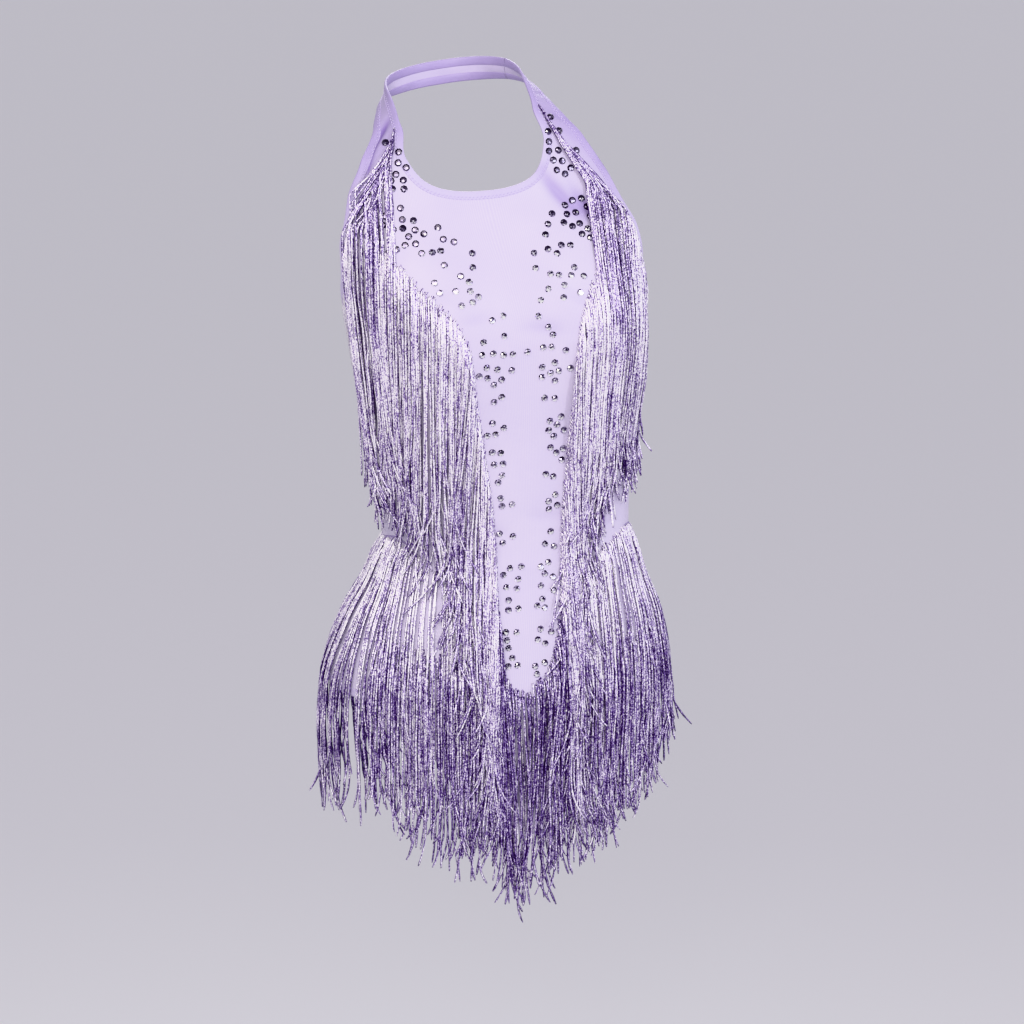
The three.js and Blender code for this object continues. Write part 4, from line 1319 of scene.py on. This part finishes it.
def make_strands(name, runs, node_name):
    """Joins runs of (paths, tone) into one piece that replaces a node."""
    parts = [tubes(300 + i + len(name), paths, tone) for i, (paths, tone) in enumerate(runs)]
    points, faces, tone = join(parts)
    piece = make_piece(name, points, faces, chainette, tone=tone)
    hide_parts(node_name)
    print("  strands:", sum(len(paths) for paths, _ in runs))
    return piece


print("strap line from", strap_rows[0][1], "to", strap_rows[-1][1], "mm")

# %% [markdown]
# ## Fringe of the straps, the bust and the front point
#
# The princess line changes its character as it goes down, so each side is four runs: fanned from
# the strap, dense over the bust, thinner down the centre panel, and shorter at the point, where the
# two sides spread apart. A tone function gives each run its lightness from root (t = 0) to end
# (t = 1): the strap lies in shade, the bust faces the light, and the point hangs under the rest.

# %% Strands of the straps, bust and front point
POINT_LENGTH = 198
STRAP_TOP, BUST_TOP, BUST_END, POINT_TOP = -13, -103, -182, -430


def strap_tone(t):
    return 0.24 + 0.33 * np.minimum(1, t * 1.6) - 0.08 * np.maximum(0, t - 0.6) / 0.4


def upper_tone(t):
    return 0.58 - 0.17 * np.maximum(0, t - 0.35) / 0.65


def panel_tone(t):
    return 0.58 - 0.2 * t


def point_tone(t):
    return 0.22 + 0.02 * t


def panel_length(angle, z):
    return mix(STRAND_LENGTH, POINT_LENGTH, np.clip((-370 - z) / 90, 0, 1))


# The fan opens lower on the left strap than on the right.
for name, sign, opens_at in (("princess_left", 1, -76), ("princess_right", -1, -40)):
    line = lines[name]
    strap_s, bust_s, panel_s, point_s = (
        line.passes(z) for z in (STRAP_TOP, BUST_TOP, BUST_END, POINT_TOP))
    strap = strand_roots(line, strap_s, bust_s, 1.3, seed=11 + sign)
    bust = strand_roots(line, bust_s, panel_s, 1.15, seed=21 + sign)
    panel = strand_roots(line, panel_s, point_s, 1.65, seed=31 + sign)
    point = strand_roots(line, point_s, line.length - 0.5, 1.3, seed=41 + sign)
    runs = [(fanned_run(line, strap, 61 + sign, sign, opens_at, 3.2, 9), strap_tone),
            (hanging_run(line, bust, 71 + sign, 3.2, 8,
                         spread=(0, 2 * sign), ragged=11), upper_tone),
            (hanging_run(line, panel, 81 + sign, 3.3, 11, panel_length,
                         spread=(-1 * sign, 11 * sign), ragged=5), panel_tone),
            (hanging_run(line, point, 91 + sign, 3.3, 11, panel_length, strength=0.9,
                         spread=(-12 * sign, 7 * sign), ragged=14), point_tone)]
    make_strands("strands_" + name, runs, "fringe_" + name)

# %% [markdown]
# ## Fringe of the armholes
#
# The armhole fringe is cut shorter towards the underarm, so that the arm doesn't catch in it.

# %% Strands of the armholes
ARM_LENGTH = 236, 158


def arm_length(angle, z):
    return mix(*ARM_LENGTH, np.clip((-112 - z) / 62, 0, 1))


for name, sign in (("armhole_left", 1), ("armhole_right", -1)):
    line = lines[name]
    s = strand_roots(line, 0, line.length, 1.2, seed=101 + sign)
    runs = [(hanging_run(line, s, 111 + sign, 3.2, 7, arm_length, strength=0.8), upper_tone)]
    make_strands("strands_" + name, runs, "fringe_" + name)

# %% [markdown]
# ## Fringe of the hips and the back
#
# The hip fringe is a short skirt, longer over the right hip than over the left, so the back run
# changes its length on the way round. A second, ragged row starts lower down and fills the front,
# where the first row is thin.

# %% Strands of the hips and the back
HIP_FRONT_LENGTH = {"left": 236, "right": 210}
HIP_LENGTH = {"left": 195, "right": 240}
LOW_HIP_LENGTH = 178, 142
HIP_SHADE = {"left": -0.03, "right": 0.02}


def hip_tone(t):
    return 0.64 - 0.32 * np.clip((t - 0.2) / 0.4, 0, 1)


def low_hip_tone(t):
    return 0.33 - 0.04 * t


def hip_length(side):
    """The length by angle: it goes from the front's length to the side's."""
    def length(angle, z):
        t = np.clip((np.abs(angle) - 38) / 46, 0, 1)
        return mix(HIP_FRONT_LENGTH[side], HIP_LENGTH[side], t * t * (3 - 2 * t))
    return length


def low_hip_length(angle, z):
    return mix(*LOW_HIP_LENGTH, np.clip((np.abs(angle) - 28) / 28, 0, 1))


def hip_keep(angle, height):
    """The hip fringe is thinner over the front of the right hip, where the cloth shows."""
    thin = np.where(angle < 0, 0.5, 0.8)
    return thin + (1 - thin) * np.clip((np.abs(angle) - 50) / 8, 0, 1)


def back_length(angle, z):
    t = np.clip((angle - 92) / 176, 0, 1)
    return mix(HIP_LENGTH["left"], HIP_LENGTH["right"], t * t * (3 - 2 * t))


for name, sign in (("hip_left", 1), ("hip_right", -1)):
    line = lines[name]
    s = strand_roots(line, 2, line.length + 1, 1.4, hip_keep, seed=121 + sign)
    length, shade = hip_length(name[4:]), HIP_SHADE[name[4:]]
    low = lines["low_" + name[4:]]
    low_s = strand_roots(low, 0, low.length, 1.35, seed=125 + sign)
    runs = [(hanging_run(line, s, 131 + sign, 3.0, 6.5, length, strength=1.2, ragged=7),
             lambda t: hip_tone(t) + shade),
            (hanging_run(low, low_s, 135 + sign, 3.0, 7, low_hip_length, strength=1.2,
                         ragged=24), low_hip_tone)]
    make_strands("strands_" + name, runs, "fringe_" + name)
line = lines["back"]
s = strand_roots(line, 0, line.length + 1, 1.6, seed=151)
runs = [(hanging_run(line, s, 161, 3.0, 6.5, back_length, strength=1.2), hip_tone)]
make_strands("strands_back", runs, "fringe_back")

# %% [markdown]
# ## Crystals
#
# Flat-backed crystals, 6.6 mm across, are glued on in loose sprays: thick on the bust beside the
# fringe, then in small groups down both sides of the centre panel, with one row that crosses the
# midriff, and a few on the outer side of each strap. A spray is a centre, a size and a number of
# stones; stones are drawn at random inside it and kept apart, as a hand would set them. They stay
# clear of the neck edge and of the fringe line.

# %% Where the stones go
# Distance from the centre line, height, half width, half height, stones on each side.
SPRAYS = [
    (64, -30, 7, 18, 6), (73, -32, 4, 12, 3), (72, -52, 9, 17, 8), (80, -98, 15, 19, 14),
    (52, -114, 16, 20, 8), (47, -149, 20, 14, 9), (25, -128, 6, 10, 2), (20, -170, 6, 12, 2),
    (28, -188, 12, 6, 2), (21, -203, 20, 3, 4), (26, -222, 16, 9, 7), (22, -244, 8, 5, 2),
    (28, -273, 9, 11, 6), (26, -298, 8, 9, 4), (22, -319, 7, 6, 2), (22, -342, 9, 7, 4),
    (21, -375, 9, 9, 3), (13, -398, 8, 3, 2), (19, -413, 11, 9, 6), (15, -433, 8, 6, 3),
    (15, -461, 9, 9, 4), (12, -487, 9, 9, 3),
]
SPRAYS_LEFT = [(85, -58, 5, 13, 4)]
STONE_APART, STONE_TO_LINE, STONE_TO_EDGE = 7.1, 4.2, 3.8
MOST_TRIES = 400
line_x = smooth_curve([z for _, z in PRINCESS[::-1]], [x for x, _ in PRINCESS[::-1]])
neck_rows = [(z, x) for x, z in NECKLINE]
neck_rows += [(z, figure_point(a, z)[0]) for a, z, _, _ in STRAP[:4]]
neck_x = smooth_curve(*zip(*neck_rows))
NECK_Z = np.linspace(NECKLINE[0][1], STRAP[3][1], 150)


def off_cloth(x, z):
    """True where a stone would hang over the neck edge."""
    near = np.hypot(neck_x(NECK_Z) - x, NECK_Z - z).min() < STONE_TO_EDGE
    return near or (z > NECK_Z[0] and x < neck_x(z))


def place_stones():
    draw = np.random.default_rng(23)
    placed = []
    for sign in (1, -1):
        for x, z, wide, tall, count in SPRAYS + (SPRAYS_LEFT if sign > 0 else []):
            left, tries = count, 0
            inner = 1 if x < line_x(z) else -1
            while left and tries < MOST_TRIES:
                tries += 1
                u, v = draw.uniform(-1, 1, 2)
                if u * u + v * v > 1:
                    continue
                spot = np.array([sign * (x + u * wide), z + v * tall])
                if (line_x(spot[1]) - abs(spot[0])) * inner < STONE_TO_LINE:
                    continue
                if off_cloth(abs(spot[0]), spot[1]):
                    continue
                if all(np.hypot(*(spot - other)) > STONE_APART for other in placed):
                    placed.append(spot)
                    left -= 1
    return np.array(placed)


spots = place_stones()
print(len(spots), "stones at least", STONE_APART, "mm apart")

# %% [markdown]
# ## Cutting the stones
#
# Each stone is cut: a table, a crown of small facets, a girdle and a flat back, eight facets round.
# Each facet gets a painted reflection, a brightness of its own. Facets that face up are painted
# darker, and so are the stones high on the bust and straps.

# %% Make the stones
STONE_RADIUS, STONE_HEIGHT = 3.3, 2.1
STONE_LEAN = 0.06
# Height and radius as shares of the stone's, and the ring's turn in facets, from the back up.
STONE_RINGS = [(0.0, 0.97, 0.0), (0.22, 1.0, 0.0), (0.66, 0.84, 0.5), (1.0, 0.56, 0.0)]
# Painted reflection of a facet: the mean, the loss high up, the loss where it faces up, the spread.
FACET_TONE, HIGH_TONE, UP_TONE, FACET_SPREAD = 0.52, 0.44, 0.34, 0.2


def cut_stones(spots):
    """Faceted stones: points, triangles, and a painted reflection tone for each triangle."""
    draw = np.random.default_rng(29)
    angle = angle_at(spots[:, 0], spots[:, 1])
    base = on_cloth(angle, spots[:, 1], CLOTH - 0.15)
    out = unit(on_cloth(angle, spots[:, 1], 2.0) - on_cloth(angle, spots[:, 1], 0.0))
    out = unit(out + draw.normal(size=out.shape) * STONE_LEAN)
    side = unit(np.cross(out, np.array([0.2, 0.1, 1.0])))
    up = np.cross(out, side)
    spin = draw.uniform(0, 6.3, len(spots))
    parts = []
    for height, radius, half_turn in STONE_RINGS:
        for k in range(8):
            a = spin + (k + half_turn) * math.pi / 4
            parts.append(base + out * height * STONE_HEIGHT
                         + (side * np.cos(a)[:, None] + up * np.sin(a)[:, None])
                         * radius * STONE_RADIUS)
    parts += [base, base + out * STONE_HEIGHT]
    points = np.stack(parts, 1)
    faces, facet = [], []
    for k in range(8):
        n = (k + 1) % 8
        faces += [(k, n, 8 + n), (k, 8 + n, 8 + k)]
        facet += [k, k]
        faces += [(8 + k, 8 + n, 16 + k), (16 + k, 8 + n, 16 + n)]
        facet += [8 + k, 16 + k]
        faces += [(16 + k, 24 + n, 24 + k), (16 + k, 16 + n, 24 + n)]
        facet += [8 + n, 16 + k]
        faces += [(24 + k, 24 + n, 33), (n, k, 32)]
        facet += [24 + k, 32]
    faces = np.array(faces)
    count = len(spots)
    all_faces = (faces[None] + (np.arange(count) * 34)[:, None, None]).reshape(-1, 3)
    wedge = (np.arange(34) % 8 + 0.5) * math.pi / 4
    turned = spin[:, None] + wedge[None]
    uphill = side[:, 2:] * np.cos(turned) + up[:, 2:] * np.sin(turned)
    # Painted reflection: darker high on the figure and where a facet faces up, and random from facet
    # to facet.
    high = np.clip((spots[:, 1] + 150) / 50, 0, 1)[:, None]
    tone = FACET_TONE - HIGH_TONE * high - UP_TONE * uphill
    tone = tone + draw.normal(size=(count, 34)) * FACET_SPREAD
    return points.reshape(-1, 3), all_faces, tone[:, facet].reshape(-1)


points, faces, tone = cut_stones(spots)
crystals = make_piece("crystals", points, faces, crystal, smooth=False, tone=tone)

# %% [markdown]
# ## Camera
#
# The camera looks a little down, from the wearer's right, with a long lens so that the garment
# isn't drawn out of shape. The view transform keeps pale colours as they are.

# %% Camera
AZIMUTH, ELEVATION, DISTANCE_MM = -14, 15, 2200
FOCAL_PIXELS, IMAGE_PIXELS, SENSOR_MM = 2442, 1024, 36
SHIFT_PIXELS = 5.5, -23.6
TARGET = np.array([0, 0, -350]) - nape

camera_data = bpy.data.cameras.new("camera")
camera_data.sensor_width = SENSOR_MM
camera_data.lens = SENSOR_MM * FOCAL_PIXELS / IMAGE_PIXELS
camera_data.shift_x, camera_data.shift_y = (pixels / IMAGE_PIXELS for pixels in SHIFT_PIXELS)
camera = bpy.data.objects.new("camera", camera_data)
bpy.context.scene.collection.objects.link(camera)
turn, rise = math.radians(AZIMUTH), math.radians(ELEVATION)
level = math.cos(rise)
behind = Vector((math.sin(turn) * level, -math.cos(turn) * level, math.sin(rise)))
camera.location = Vector(TARGET * 0.001) + behind * DISTANCE_MM * 0.001
camera.rotation_mode = "QUATERNION"
camera.rotation_quaternion = (-behind).to_track_quat("-Z", "Y")
bpy.context.scene.camera = camera
bpy.context.scene.view_settings.view_transform = "Khronos PBR Neutral"
print("lens", round(camera_data.lens, 1), "mm, camera", DISTANCE_MM, "mm away")

# %% [markdown]
# ## Floor and light
#
# The floor is a plain pale sheet far below. The room is pale and bright, and three large lamps are
# soft, so the cloth is evenly lit. Two small lamps give the foil and the crystals their sparkle.

# %% Floor and lights
def make_floor(z_mm, half_mm):
    m, shader = new_material("floor_matt_paint")
    shader.inputs["Base Color"].default_value = dye("#e9e7ee")
    shader.inputs["Roughness"].default_value = 0.9
    mesh = bpy.data.meshes.new("floor")
    h, z = half_mm * 0.001, z_mm * 0.001
    mesh.from_pydata([(-h, -h, z), (h, -h, z), (h, h, z), (-h, h, z)], [], [(0, 1, 2, 3)])
    mesh.materials.append(m)
    floor = bpy.data.objects.new("floor", mesh)
    bpy.context.scene.collection.objects.link(floor)


def lamp(name, place_mm, size_m, watts, colour="#ffffff"):
    data = bpy.data.lights.new(name, "AREA")
    data.size, data.energy, data.color = size_m, watts, dye(colour)[:3]
    light = bpy.data.objects.new(name, data)
    bpy.context.scene.collection.objects.link(light)
    light.location = Vector(place_mm) * 0.001
    aim = Vector(TARGET * 0.001) - light.location
    light.rotation_mode = "QUATERNION"
    light.rotation_quaternion = aim.to_track_quat("-Z", "Y")


make_floor(-2600, 90000)
lamp("key_soft", (-900, -2000, 900), 1.3, 38, "#fffaf2")
lamp("fill_soft", (1500, -1500, 200), 1.6, 16, "#f2f4ff")
lamp("back_soft", (600, 1900, 1000), 1.4, 34)
lamp("spark_left", (-500, -1900, 300), 0.12, 9)
lamp("spark_right", (900, -1700, 700), 0.12, 9)
world = bpy.data.worlds.new("pale_room")
bpy.context.scene.world = world
world.use_nodes = True
world.node_tree.nodes["Background"].inputs["Color"].default_value = dye("#e9e8ec")
world.node_tree.nodes["Background"].inputs["Strength"].default_value = 0.82
print("lamps:", ", ".join(light.name for light in bpy.data.lights))
